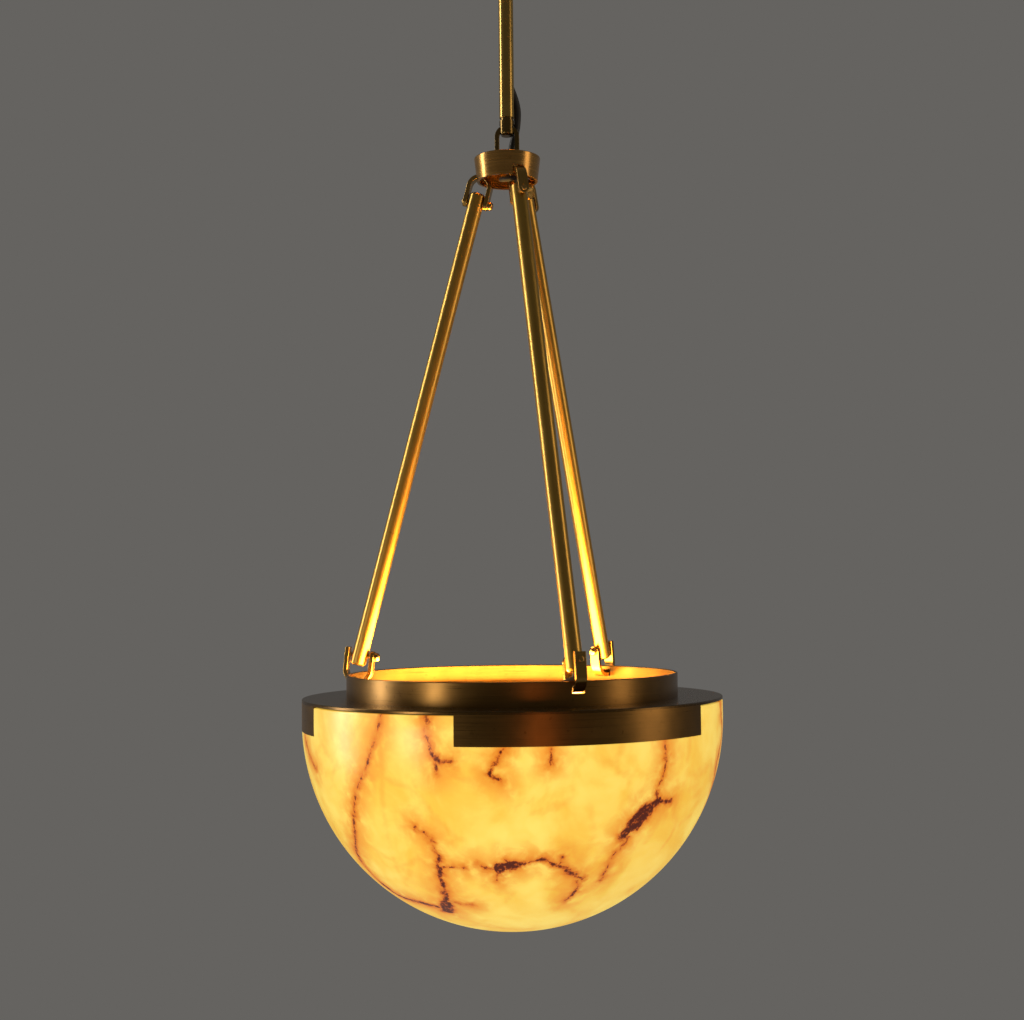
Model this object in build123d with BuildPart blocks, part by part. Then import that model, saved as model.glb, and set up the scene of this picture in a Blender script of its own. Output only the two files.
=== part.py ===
from build123d import *
from math import cos, pi, radians, sin, sqrt, tan
import os

# Alabaster bowl pendant. Millimetres. The origin is on the ceiling at the downrod's axis, +Z is up
# and -Y faces the viewer. An azimuth of 0 points at the viewer and turns towards +X.

# Driving dimensions ------------------------------------------------------------------------------

# Clearances
PRESS_GAP = 0.02  # radial, a pin or spigot that stays put
RUNNING_GAP = 0.05  # radial, a pin that its bore turns on
LOOSE_GAP = 0.3  # between faces that slide past each other
SLOT_GAP = 0.75  # each side of a strap in its slot

# Ceiling bracket, coupling and canopy
BRACKET_LENGTH = 108.0
BRACKET_WIDTH = 22.0
BRACKET_T = 2.0
SCREW_SPACING = 88.0
SCREW_HOLE_R = 2.5
COUPLING_FLANGE_R = 12.0
COUPLING_FLANGE_T = 2.0
COUPLING_R = 9.0
COUPLING_GRIP = 10.0  # length of downrod held in the coupling
COUPLING_CHAMBER = 10.0  # height above the downrod where its wires turn out
RIVET_R = 5.0
CANOPY_R = 60.0
CANOPY_H = 30.0
CANOPY_WALL = 1.5
CANOPY_EDGE_R = 4.0
CANOPY_COLLAR_R = 11.0
CANOPY_COLLAR_H = 10.0
SET_SCREW_R = 1.5
BLOCK_LENGTH = 18.0
BLOCK_WIDTH = 19.0
BLOCK_H = 12.0
BLOCK_PITCH = 6.0
BLOCK_NEAR_X = 24.0

# Downrod and its eye
DOWNROD_LENGTH = 170.0
DOWNROD_R = 7.3
DOWNROD_WALL = 1.2
CORD_SLOT_TOP = 42.5  # above the downrod's lower end
CORD_SLOT_BOTTOM = 9.5
CORD_SLOT_WIDTH = 8.3
GROOVE_R = 6.2
GROOVE_H = 3.0
EYE_CAP_H = 4.1
EYE_SPIGOT = 6.0
EYE_WIDTH = 12.0
EYE_FLOOR = 5.8  # metal under the bow
EYE_ROUND = 3.0

# Bow between eye and hub
BOW_R = 12.0
BOW_T = 4.5
BOW_WIDTH = 8.0
BOW_LEG = 15.6
BOW_PIN_R = 2.5
BOW_HEAD_R = 3.4
BOW_HEAD_T = 1.5
BOW_PIN_ABOVE_HUB = 5.2
BOW_ROUND = 0.7

# Hub
HUB_TOP_R = 32.4
HUB_BOTTOM_R = 29.7
HUB_H = 23.0
HUB_WALL = 2.5
HUB_PLATE_T = 3.0
HUB_SILL = 2.9  # metal left below each strap's slot
HUB_SLOT_HEADROOM = 1.0
GROMMET_X = 4.0
GROMMET_Y = 11.0
GROMMET_R = 5.0
GROMMET_LIP = 1.5

# Straps and pins
LINK_COUNT = 3
FIRST_LINK = 21.25  # azimuth of the rod nearest the viewer
STRAP_WIDTH = 10.5
STRAP_T = 4.2
STRAP_ROUND = 0.6
PIN_R = 2.0
PIN_HEAD_R = 2.9
PIN_HEAD_T = 1.3
PIN_KNOB_R = 4.2
PIN_KNOB_T = 5.0
UPPER_PIN_RADIUS = 31.5  # from the Z axis
UPPER_SPAN_ROOM = 2.6  # rod to the middle of each leg
UPPER_LEG = 15.78  # bend centre to pin
LOWER_LEAN = 7.0  # lower straps off the vertical
LOWER_SPAN_ROOM = 4.7
LOWER_LEG = 13.5
LOWER_OUTER_LEG = 20.5  # bend centre to the cut end of the outer leg
LOWER_BEND_INSET = 5.53  # bend centre inside the middle of the collar's wall

# Rods
ROD_LEAN = 15.0
ROD_R = 7.7
ROD_WALL = 1.0
ROD_END_FREE = 9.5  # pin to the end's free face
ROD_END_SHOULDER = 4.5  # pin to the tube
ROD_END_SPIGOT = 12.0
ROD_END_BORE_R = 4.5
ROD_END_CHAMFER = 1.8
UPPER_HALF_SPAN = ROD_R + UPPER_SPAN_ROOM
LOWER_HALF_SPAN = ROD_R + LOWER_SPAN_ROOM

# Collar, flange and skirt
COLLAR_R = 158.1
COLLAR_WALL = 2.5
COLLAR_H = 21.8
COLLAR_BRIDGE = 3.8  # metal left above each strap's slot
RIM_R = 200.0
FLANGE_T = 2.5
SKIRT_H = 26.5
SKIRT_T = 2.4
SKIRT_ARC = 70.8

# Alabaster bowl and what holds it
BOWL_WALL = 12.0
BOWL_STRAIGHT = 15.5
GASKET_T = 1.0
GASKET_WIDTH = 7.0
CLIP_FIRST = 81.25
CLIP_ARC = 8.0
CLIP_T = 2.5
CLIP_REACH = 14.0  # inward from the bowl's inner wall
CLIP_STUD_INSET = 8.0  # from the bowl's inner wall
CLIP_TOE_T = 3.8
CLIP_TOE = 4.8
CLIP_DROP = 9.7  # flange to the toe's top face
GROOVE_DEPTH = 5.2

# Studs, lamp spider and lamps
STUD_R = 2.0
STUD_LENGTH = 9.0
STUD_HOLE_GAP = 0.2
NUT_R = 4.04
NUT_T = 3.2
ARM_STUD_INSET = 23.0  # from the bowl's inner wall
ARM_OVERHANG = 6.5  # arm beyond its stud
ARM_WIDTH = 20.0
ARM_T = 2.0
SPIDER_HUB_R = 40.0
SPIDER_BORE_R = 6.0
BOX_R = 34.0
BOX_H = 20.0
BOX_WALL = 2.0
BOX_PORT_R = 1.8
LAMP_RADIUS = 85.0
HOLDER_R = 19.0
HOLDER_BORE_R = 13.5
HOLDER_H = 40.0
HOLDER_TOP_T = 4.0
NIPPLE_R = 5.0
NIPPLE_H = 5.0
HOLDER_NUT_R = 8.0
HOLDER_NUT_T = 2.5
CAP_LENGTH = 27.0
CAP_R = 13.2
GLOBE_R = 30.0
GLOBE_DROP = 45.0  # cap's end to the globe's centre
GLOBE_NECK_R = 12.6
GLOBE_NECK = 10.0
GLOBE_SHOULDER = 40.0  # degrees from the globe's top where its neck meets it
GLOBE_WALL = 1.5

# Wiring
FLEX_R = 3.6
CORE_R = 1.0
LEAD_R = 2.5
WIRE_R = 1.1
WIRE_OFFSET = 3.2
HOLDER_LEAD_R = 1.5

# Worked out from the dimensions above ------------------------------------------------------------

UP = Vector(0, 0, 1)
LINKS = [FIRST_LINK + 360 / LINK_COUNT * i for i in range(LINK_COUNT)]
CLIPS = [CLIP_FIRST + 360 / LINK_COUNT * i for i in range(LINK_COUNT)]

DOWNROD_TOP_Z = -(BRACKET_T + COUPLING_FLANGE_T + COUPLING_CHAMBER)
DOWNROD_END_Z = DOWNROD_TOP_Z - DOWNROD_LENGTH
DOWNROD_BORE_R = DOWNROD_R - DOWNROD_WALL
EYE_CAP_Z = DOWNROD_END_Z - GROOVE_H
BOW_BEND_Z = EYE_CAP_Z - EYE_CAP_H - BOW_R - LOOSE_GAP
EYE_BOTTOM_Z = BOW_BEND_Z + BOW_R - BOW_T - LOOSE_GAP - EYE_FLOOR
BOW_PIN_Z = BOW_BEND_Z - BOW_LEG
HUB_TOP_Z = BOW_PIN_Z - BOW_PIN_ABOVE_HUB
HUB_BOTTOM_Z = HUB_TOP_Z - HUB_H
HUB_PLATE_Z = HUB_TOP_Z - HUB_PLATE_T


def arc_height(arc_r, offset):
    """Height of an arc over its centre, at an offset from the centre."""
    return sqrt(arc_r**2 - offset**2)


# Each upper strap leans with its rod and rests on its slot's sill, on whichever of the sill's edges
# is further from the bend's centre.
UPPER_BEND_RADIUS = UPPER_PIN_RADIUS - UPPER_LEG * sin(radians(ROD_LEAN))
SILL_INNER_RADIUS = sqrt((HUB_BOTTOM_R - HUB_WALL) ** 2 - (STRAP_WIDTH / 2) ** 2)
SILL_OUTER_RADIUS = HUB_BOTTOM_R + (HUB_TOP_R - HUB_BOTTOM_R) * HUB_SILL / HUB_H
UPPER_REST_HEIGHT = arc_height(
    UPPER_HALF_SPAN - STRAP_T / 2,
    max(UPPER_BEND_RADIUS - SILL_INNER_RADIUS, SILL_OUTER_RADIUS - UPPER_BEND_RADIUS),
)
UPPER_BEND_Z = HUB_BOTTOM_Z + HUB_SILL + LOOSE_GAP - UPPER_REST_HEIGHT
UPPER_PIN_Z = UPPER_BEND_Z - UPPER_LEG * cos(radians(ROD_LEAN))

LOWER_BEND_RADIUS = COLLAR_R - COLLAR_WALL / 2 - LOWER_BEND_INSET
LOWER_PIN_RADIUS = LOWER_BEND_RADIUS - LOWER_LEG * sin(radians(LOWER_LEAN))
ROD_SPAN = (LOWER_PIN_RADIUS - UPPER_PIN_RADIUS) / sin(radians(ROD_LEAN))
LOWER_PIN_Z = UPPER_PIN_Z - ROD_SPAN * cos(radians(ROD_LEAN))
LOWER_BEND_Z = LOWER_PIN_Z - LOWER_LEG * cos(radians(LOWER_LEAN))

# The bowl hangs on the lower straps by the bridges of metal above the collar's slots.
LOWER_REST_HEIGHT = arc_height(LOWER_HALF_SPAN - STRAP_T / 2, COLLAR_R - LOWER_BEND_RADIUS)
LOWER_REACH = arc_height(
    LOWER_HALF_SPAN + STRAP_T / 2, COLLAR_R - COLLAR_WALL - LOWER_BEND_RADIUS
)
SLOT_TOP_Z = LOWER_BEND_Z - LOWER_REST_HEIGHT + LOOSE_GAP
SLOT_BOTTOM_Z = LOWER_BEND_Z - LOWER_REACH - SLOT_GAP
RIM_Z = SLOT_TOP_Z + COLLAR_BRIDGE
FLANGE_TOP_Z = RIM_Z - COLLAR_H
FLANGE_Z = FLANGE_TOP_Z - FLANGE_T
SKIRT_Z = FLANGE_Z - SKIRT_H
BOWL_TOP_Z = FLANGE_Z - GASKET_T
BOWL_CENTRE_Z = BOWL_TOP_Z - BOWL_STRAIGHT
BOWL_INNER_R = RIM_R - BOWL_WALL
CLIP_STUD_RADIUS = BOWL_INNER_R - CLIP_STUD_INSET
ARM_STUD_RADIUS = BOWL_INNER_R - ARM_STUD_INSET
TOE_TOP_Z = FLANGE_Z - CLIP_DROP
ARM_Z = FLANGE_Z - ARM_T
HOLDER_Z = ARM_Z - HOLDER_H
SOCKET_TOP_Z = ARM_Z - HOLDER_TOP_T
CAP_Z = SOCKET_TOP_Z - CAP_LENGTH


def outward(azimuth):
    """Unit vector away from the Z axis."""
    return Vector(sin(radians(azimuth)), -cos(radians(azimuth)), 0)


def sideways(azimuth):
    """Unit vector level with the ceiling, towards a larger azimuth."""
    return Vector(cos(radians(azimuth)), sin(radians(azimuth)), 0)


def spot(azimuth, radius, z, aside=0.0):
    """Point at a radius and height, moved sideways from its azimuth."""
    return outward(azimuth) * radius + sideways(azimuth) * aside + UP * z


def upright(azimuth):
    """Plane through the Z axis: its x runs outward and its y runs up."""
    out = outward(azimuth)
    return Plane(origin=(0, 0, 0), x_dir=out, z_dir=out.cross(UP))


def leaning_up(azimuth, lean):
    """Unit vector up along a bar whose top leans towards the Z axis."""
    return UP * cos(radians(lean)) - outward(azimuth) * sin(radians(lean))


def leaning_out(azimuth, lean):
    """Unit vector square to that bar, away from the Z axis."""
    return outward(azimuth) * cos(radians(lean)) + UP * sin(radians(lean))


def save(part, name):
    """Label a finished piece and write it under its name."""
    part.label = name
    export_step(part, f"parts/{name}.step")


def group(pieces):
    """Several separate solids of one kind, kept as one node."""
    return Compound(children=pieces)


# Shapes that repeat ------------------------------------------------------------------------------


def ring(outer_r, inner_r, bottom_z, height):
    """Flat ring or short tube around the Z axis."""
    with BuildPart() as body:
        with BuildSketch(Plane.XY.offset(bottom_z)):
            Circle(outer_r)
            Circle(inner_r, mode=Mode.SUBTRACT)
        extrude(amount=height)
    return body.part


def bent_strap(plane, half_span, pin_at, outer_end):
    """Flat bar bent to a U. The plane's x crosses the legs outward, its y runs from the bend's
    centre to the leg ends. The inner leg is round about its pin; the outer leg is round too, or
    cut square at outer_end."""
    inner_bend = half_span - STRAP_T / 2
    outer_bend = half_span + STRAP_T / 2
    with BuildPart() as strap:
        with BuildSketch(plane):
            Circle(outer_bend)
            Circle(inner_bend, mode=Mode.SUBTRACT)
            Rectangle(
                3 * outer_bend, 2 * outer_bend, align=(Align.CENTER, Align.MIN), mode=Mode.SUBTRACT
            )
        extrude(amount=STRAP_WIDTH / 2, both=True)
        for side, cut_end in ((1, outer_end), (-1, None)):
            centre = plane.origin + plane.x_dir * (side * half_span)
            with BuildSketch(Plane(origin=centre, x_dir=-plane.z_dir, z_dir=plane.x_dir)):
                Rectangle(STRAP_WIDTH, cut_end or pin_at, align=(Align.CENTER, Align.MIN))
                if cut_end is None:
                    with Locations((0, pin_at)):
                        Circle(STRAP_WIDTH / 2)
            extrude(amount=STRAP_T / 2, both=True)
        fillet(strap.edges().filter_by(lambda edge: edge.length > STRAP_T + 0.01), STRAP_ROUND)
        with BuildSketch(Plane(origin=plane.origin + plane.y_dir * pin_at, z_dir=plane.x_dir)):
            Circle(PIN_R + PRESS_GAP)
        extrude(amount=2 * outer_bend, both=True, mode=Mode.SUBTRACT)
    return strap.part


def cross_pin(plane, half_span):
    """Pin through both legs of a strap, along the plane's z: a low head outside, a knob inside."""
    reach = half_span + STRAP_T / 2
    with BuildPart() as pin:
        with BuildSketch(plane.offset(-reach)):
            Circle(PIN_R)
        extrude(amount=2 * reach)
        with BuildSketch(plane.offset(reach)):
            Circle(PIN_HEAD_R)
        extrude(amount=PIN_HEAD_T)
        fillet(pin.edges().group_by(Axis(plane.origin, plane.z_dir))[-1], PIN_HEAD_T * 0.8)
        with BuildSketch(plane.offset(-reach)):
            Circle(PIN_KNOB_R)
        extrude(amount=-PIN_KNOB_T)
        fillet(pin.edges().group_by(Axis(plane.origin, plane.z_dir))[0], PIN_KNOB_T * 0.6)
    return pin.part


def rod_end(pin_centre, towards_free, pin_direction, pin_fit):
    """Hollow fitting at a rod's end: a head with the pin's bore, and a spigot in the tube."""
    seat = Plane(origin=pin_centre, z_dir=towards_free)
    with BuildPart() as end:
        with BuildSketch(seat.offset(-ROD_END_SHOULDER)):
            Circle(ROD_R)
        extrude(amount=ROD_END_SHOULDER + ROD_END_FREE)
        chamfer(end.edges().group_by(Axis(pin_centre, towards_free))[-1], ROD_END_CHAMFER)
        with BuildSketch(seat.offset(-ROD_END_SHOULDER)):
            Circle(ROD_R - ROD_WALL - PRESS_GAP)
        extrude(amount=-ROD_END_SPIGOT)
        with BuildSketch(seat):
            Circle(ROD_END_BORE_R)
        extrude(amount=2 * ROD_END_SPIGOT, both=True, mode=Mode.SUBTRACT)
        with BuildSketch(Plane(origin=pin_centre, z_dir=pin_direction)):
            Circle(PIN_R + pin_fit)
        extrude(amount=2 * ROD_R, both=True, mode=Mode.SUBTRACT)
    return end.part


def straight_tube(start, end, outer_r, inner_r=0.0):
    """Round bar or tube between two points."""
    with BuildPart() as tube:
        with BuildSketch(Plane(origin=start, z_dir=end - start)):
            Circle(outer_r)
            if inner_r:
                Circle(inner_r, mode=Mode.SUBTRACT)
        extrude(amount=(end - start).length)
    return tube.part


def cord(name, points, radius):
    """Round cord along straight runs joined by arcs that are as large as the runs allow."""
    runs = [b - a for a, b in zip(points, points[1:])]
    turns = [radians(a.get_angle(b)) for a, b in zip(runs, runs[1:])]
    radii = [
        0.45 * min(a.length, b.length) / tan(turn / 2)
        for a, b, turn in zip(runs, runs[1:], turns)
    ]
    with BuildPart() as tube:
        with BuildLine() as route:
            FilletPolyline(*points, radius=radii)
        with BuildSketch(Plane(origin=points[0], z_dir=runs[0])):
            Circle(radius)
        sweep(path=route.wire())
    length = route.wire().length
    share = tube.part.volume / (pi * radius**2 * length)
    print(name, "length", round(length, 1), "radii", [round(r, 1) for r in radii], "share", round(share, 3))
    return tube.part


def hexagon_nut(azimuth, radius, top_z, nut_r, thickness, bore_r):
    """Hexagon nut hanging below top_z on a stud at that azimuth and radius."""
    with BuildPart() as nut:
        with BuildSketch(Plane(origin=spot(azimuth, radius, top_z), z_dir=UP)):
            RegularPolygon(nut_r, 6)
            Circle(bore_r, mode=Mode.SUBTRACT)
        extrude(amount=-thickness)
    return nut.part


os.makedirs("parts", exist_ok=True)

# Ceiling end -------------------------------------------------------------------------------------

BLOCK_X = BLOCK_NEAR_X + BLOCK_LENGTH / 2

with BuildPart() as ceiling_bracket:
    with BuildSketch(Plane.XY.offset(-BRACKET_T)):
        RectangleRounded(BRACKET_LENGTH, BRACKET_WIDTH, BRACKET_WIDTH / 4)
        with GridLocations(SCREW_SPACING, 0, 2, 1):
            Circle(SCREW_HOLE_R, mode=Mode.SUBTRACT)
        Circle(RIVET_R + PRESS_GAP, mode=Mode.SUBTRACT)
    extrude(amount=BRACKET_T)
save(ceiling_bracket.part, "ceiling_bracket")

with BuildPart() as rod_coupling:
    with BuildSketch(Plane.XY.offset(-BRACKET_T)):
        Circle(RIVET_R)
    extrude(amount=BRACKET_T)
    with BuildSketch(Plane.XY.offset(-BRACKET_T)):
        Circle(COUPLING_FLANGE_R)
    extrude(amount=-COUPLING_FLANGE_T)
    with BuildSketch(Plane.XY.offset(-BRACKET_T - COUPLING_FLANGE_T)):
        Circle(COUPLING_R)
    extrude(amount=-COUPLING_CHAMBER - COUPLING_GRIP)
    with BuildSketch(Plane.XY.offset(-BRACKET_T - COUPLING_FLANGE_T)):
        Circle(DOWNROD_BORE_R)
    extrude(amount=-COUPLING_CHAMBER, mode=Mode.SUBTRACT)
    with BuildSketch(Plane.XY.offset(DOWNROD_TOP_Z)):
        Circle(DOWNROD_R + PRESS_GAP)
    extrude(amount=-COUPLING_GRIP, mode=Mode.SUBTRACT)
    with BuildSketch(Plane.YZ):
        with Locations((0, DOWNROD_TOP_Z + COUPLING_CHAMBER / 2)):
            RectangleRounded(COUPLING_R, COUPLING_CHAMBER - 2, 1.5)
    extrude(amount=2 * COUPLING_R, mode=Mode.SUBTRACT)
save(rod_coupling.part, "rod_coupling")

with BuildPart() as terminal_block:
    with BuildSketch(Plane.XY.offset(-BRACKET_T)):
        with Locations((BLOCK_X, 0)):
            Rectangle(BLOCK_LENGTH, BLOCK_WIDTH)
    extrude(amount=-BLOCK_H)
    fillet(terminal_block.edges().filter_by(Axis.Z), 1.5)
    with BuildSketch(Plane.YZ.offset(BLOCK_NEAR_X)):
        with Locations((0, -BRACKET_T - BLOCK_H / 2)):
            with GridLocations(BLOCK_PITCH, 0, 3, 1):
                Circle(CORE_R + LOOSE_GAP)
    extrude(amount=BLOCK_LENGTH, mode=Mode.SUBTRACT)
save(terminal_block.part, "terminal_block")

with BuildPart() as canopy:
    with BuildSketch(Plane.XY.offset(-CANOPY_H)):
        Circle(CANOPY_R)
    extrude(amount=CANOPY_H)
    fillet(canopy.edges().group_by(Axis.Z)[0], CANOPY_EDGE_R)
    offset(amount=-CANOPY_WALL, openings=canopy.faces().sort_by(Axis.Z)[-1])
    with BuildSketch(Plane.XY.offset(-CANOPY_H)):
        Circle(DOWNROD_R + LOOSE_GAP)
    extrude(amount=2 * CANOPY_WALL, mode=Mode.SUBTRACT)
save(canopy.part, "canopy")

with BuildPart() as canopy_collar:
    add(
        ring(
            CANOPY_COLLAR_R, DOWNROD_R + PRESS_GAP, -CANOPY_H - CANOPY_COLLAR_H, CANOPY_COLLAR_H
        )
    )
    fillet(canopy_collar.edges().group_by(Axis.Z)[0].sort_by(SortBy.RADIUS)[-1], 2.0)
    with BuildSketch(Plane.YZ):
        with Locations((0, -CANOPY_H - CANOPY_COLLAR_H / 2)):
            Circle(SET_SCREW_R + PRESS_GAP)
    extrude(amount=2 * CANOPY_COLLAR_R, mode=Mode.SUBTRACT)
save(canopy_collar.part, "canopy_collar")

screw_z = -CANOPY_H - CANOPY_COLLAR_H / 2
set_screw = straight_tube(
    Vector(DOWNROD_R + PRESS_GAP, 0, screw_z), Vector(CANOPY_COLLAR_R - 0.5, 0, screw_z), SET_SCREW_R
)
save(set_screw, "canopy_set_screw")

# Downrod and eye ---------------------------------------------------------------------------------

# The supply flex leaves the downrod on its right and back, and passes behind the bow. Its points
# are heights above the downrod's lower end.
FLEX_SIDE = Vector(0.83, 0.557, 0)


def flex_point(away, above, back=0.0):
    """Point on the flex: away from the axis on the side where it leaves, above the rod's end."""
    return FLEX_SIDE * away + Vector(0, back, DOWNROD_END_Z + above)


FLEX_TURN = flex_point(0, 41.0)
FLEX_EXIT = flex_point(7.0, 26.5)
FLEX_POINTS = [
    FLEX_EXIT,
    flex_point(12.6, 14.9),
    Vector(10.4, 8.2, DOWNROD_END_Z - 1.5),
    Vector(8.2, 9.9, DOWNROD_END_Z - 14.0),
    Vector(5.2, 11.2, DOWNROD_END_Z - 24.5),
    Vector(GROMMET_X, GROMMET_Y, DOWNROD_END_Z - 33.0),
    Vector(GROMMET_X, GROMMET_Y, HUB_TOP_Z - 7.0),
]

with BuildPart() as downrod:
    with BuildSketch(Plane.XY.offset(DOWNROD_END_Z)):
        Circle(DOWNROD_R)
        Circle(DOWNROD_BORE_R, mode=Mode.SUBTRACT)
    extrude(amount=DOWNROD_LENGTH)
    slot_centre = Vector(0, 0, DOWNROD_END_Z + (CORD_SLOT_TOP + CORD_SLOT_BOTTOM) / 2)
    with BuildSketch(Plane(origin=slot_centre, x_dir=UP, z_dir=FLEX_SIDE)):
        SlotOverall(CORD_SLOT_TOP - CORD_SLOT_BOTTOM, CORD_SLOT_WIDTH)
    extrude(amount=2 * DOWNROD_R, mode=Mode.SUBTRACT)
save(downrod.part, "downrod")

with BuildPart() as rod_end_eye:
    with BuildSketch(Plane.XY.offset(EYE_BOTTOM_Z)):
        Circle(DOWNROD_R)
        Rectangle(EYE_WIDTH, 2 * DOWNROD_R, mode=Mode.INTERSECT)
    extrude(amount=EYE_CAP_Z - EYE_CAP_H - EYE_BOTTOM_Z)
    fillet(rod_end_eye.edges().group_by(Axis.Z)[0], EYE_ROUND)
    with BuildSketch(Plane.XY.offset(EYE_CAP_Z)):
        Circle(DOWNROD_R)
    extrude(amount=-EYE_CAP_H)
    with BuildSketch(Plane.XY.offset(EYE_CAP_Z)):
        Circle(GROOVE_R)
    extrude(amount=GROOVE_H)
    with BuildSketch(Plane.XY.offset(DOWNROD_END_Z)):
        Circle(DOWNROD_BORE_R - PRESS_GAP)
    extrude(amount=EYE_SPIGOT)
    with BuildSketch(Plane.YZ):
        with Locations((0, BOW_BEND_Z + BOW_R - BOW_T / 2)):
            Rectangle(BOW_WIDTH + 2 * LOOSE_GAP, BOW_T + 2 * LOOSE_GAP)
    revolve(axis=Axis((0, 0, BOW_BEND_Z), (0, 1, 0)), mode=Mode.SUBTRACT)
save(rod_end_eye.part, "rod_end_eye")

# Bow and its pin ---------------------------------------------------------------------------------

with BuildPart() as hanger_bow:
    with BuildSketch(Plane.XZ):
        with Locations((0, BOW_BEND_Z)):
            Circle(BOW_R)
            Rectangle(2 * BOW_R, BOW_LEG + BOW_WIDTH / 2, align=(Align.CENTER, Align.MAX))
            Circle(BOW_R - BOW_T, mode=Mode.SUBTRACT)
            Rectangle(
                2 * (BOW_R - BOW_T),
                BOW_LEG + BOW_WIDTH,
                align=(Align.CENTER, Align.MAX),
                mode=Mode.SUBTRACT,
            )
    extrude(amount=BOW_WIDTH / 2, both=True)
    with BuildSketch(Plane.YZ):
        with Locations((0, BOW_PIN_Z)):
            Rectangle(BOW_WIDTH, BOW_LEG + 2 * BOW_R, align=(Align.CENTER, Align.MIN))
            Circle(BOW_WIDTH / 2)
    extrude(amount=2 * BOW_R, both=True, mode=Mode.INTERSECT)
    fillet(hanger_bow.edges().filter_by(lambda edge: edge.length > BOW_T + 0.01), BOW_ROUND)
    with BuildSketch(Plane.YZ):
        with Locations((0, BOW_PIN_Z)):
            Circle(BOW_PIN_R + PRESS_GAP)
    extrude(amount=2 * BOW_R, both=True, mode=Mode.SUBTRACT)
save(hanger_bow.part, "hanger_bow")

with BuildPart() as bow_pin:
    with BuildSketch(Plane.YZ.offset(-BOW_R)):
        with Locations((0, BOW_PIN_Z)):
            Circle(BOW_PIN_R)
    extrude(amount=2 * BOW_R)
    for side in (1, -1):
        with BuildSketch(Plane.YZ.offset(side * BOW_R)):
            with Locations((0, BOW_PIN_Z)):
                Circle(BOW_HEAD_R)
        extrude(amount=side * BOW_HEAD_T)
    fillet(bow_pin.edges().group_by(Axis.X)[-1], BOW_HEAD_T * 0.7)
    fillet(bow_pin.edges().group_by(Axis.X)[0], BOW_HEAD_T * 0.7)
save(bow_pin.part, "bow_pin")

save(cord("supply_flex", FLEX_POINTS, FLEX_R), "supply_flex")
held_flex = [Vector(0, 0, DOWNROD_TOP_Z), FLEX_TURN, FLEX_EXIT]
save(cord("supply_lead", held_flex, FLEX_R), "supply_lead")

core_z = -BRACKET_T - BLOCK_H / 2
cores = []
for count in (-1, 0, 1):
    start_y = 2.2 * count
    route = [
        Vector(0, start_y, DOWNROD_TOP_Z),
        Vector(0, start_y, core_z),
        Vector(11, start_y, core_z),
        Vector(19, BLOCK_PITCH * count, core_z),
        Vector(BLOCK_NEAR_X + 5, BLOCK_PITCH * count, core_z),
    ]
    cores.append(cord("canopy_core", route if count else route[:2] + route[-1:], CORE_R))
save(group(cores), "canopy_cores")

# Hub ---------------------------------------------------------------------------------------------


def hub_radius(z):
    """Outer radius of the hub's sloping wall at a height."""
    return HUB_BOTTOM_R + (HUB_TOP_R - HUB_BOTTOM_R) * (z - HUB_BOTTOM_Z) / HUB_H


LUG_WIDTH = 2 * (BOW_R - BOW_T - LOOSE_GAP)
HUB_SLOT_Z = HUB_BOTTOM_Z + HUB_SILL
HUB_SLOT_TOP_Z = UPPER_BEND_Z + UPPER_HALF_SPAN + STRAP_T / 2 + HUB_SLOT_HEADROOM

with BuildPart() as hub_cup:
    with BuildSketch(Plane.XZ):
        with BuildLine():
            Polyline(
                (0, HUB_TOP_Z),
                (HUB_TOP_R, HUB_TOP_Z),
                (HUB_BOTTOM_R, HUB_BOTTOM_Z),
                (HUB_BOTTOM_R - HUB_WALL, HUB_BOTTOM_Z),
                (hub_radius(HUB_PLATE_Z) - HUB_WALL, HUB_PLATE_Z),
                (0, HUB_PLATE_Z),
                close=True,
            )
        make_face()
    revolve(axis=Axis.Z)
    fillet(hub_cup.edges().group_by(Axis.Z)[-1], 0.8)
    with BuildSketch(Plane.YZ):
        with Locations((0, BOW_PIN_Z)):
            Circle(BOW_WIDTH / 2)
            Rectangle(BOW_WIDTH, BOW_PIN_ABOVE_HUB, align=(Align.CENTER, Align.MAX))
    extrude(amount=LUG_WIDTH / 2, both=True)
    with BuildSketch(Plane.YZ):
        with Locations((0, BOW_PIN_Z)):
            Circle(BOW_PIN_R + RUNNING_GAP)
    extrude(amount=BOW_R, both=True, mode=Mode.SUBTRACT)
    with BuildSketch(Plane.XY.offset(HUB_TOP_Z)):
        with Locations((GROMMET_X, GROMMET_Y)):
            Circle(GROMMET_R + PRESS_GAP)
    extrude(amount=-HUB_PLATE_T, mode=Mode.SUBTRACT)
    for azimuth in LINKS:
        across = Plane(origin=(0, 0, 0), x_dir=sideways(azimuth), z_dir=outward(azimuth))
        with BuildSketch(across):
            with Locations((0, (HUB_SLOT_Z + HUB_SLOT_TOP_Z) / 2)):
                Rectangle(STRAP_WIDTH + 2 * SLOT_GAP, HUB_SLOT_TOP_Z - HUB_SLOT_Z)
        extrude(amount=2 * HUB_TOP_R, mode=Mode.SUBTRACT)
save(hub_cup.part, "hub_cup")

GROMMET_BORE_R = FLEX_R + 2 * RUNNING_GAP
GROMMET_LIP_R = GROMMET_R + GROMMET_LIP
with BuildPart() as hub_grommet:
    add(ring(GROMMET_LIP_R, GROMMET_BORE_R, HUB_PLATE_Z - GROMMET_LIP, GROMMET_LIP))
    add(ring(GROMMET_R, GROMMET_BORE_R, HUB_PLATE_Z, HUB_PLATE_T))
    add(ring(GROMMET_LIP_R, GROMMET_BORE_R, HUB_TOP_Z, GROMMET_LIP))
save(hub_grommet.part.moved(Location((GROMMET_X, GROMMET_Y, 0))), "hub_grommet")

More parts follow.
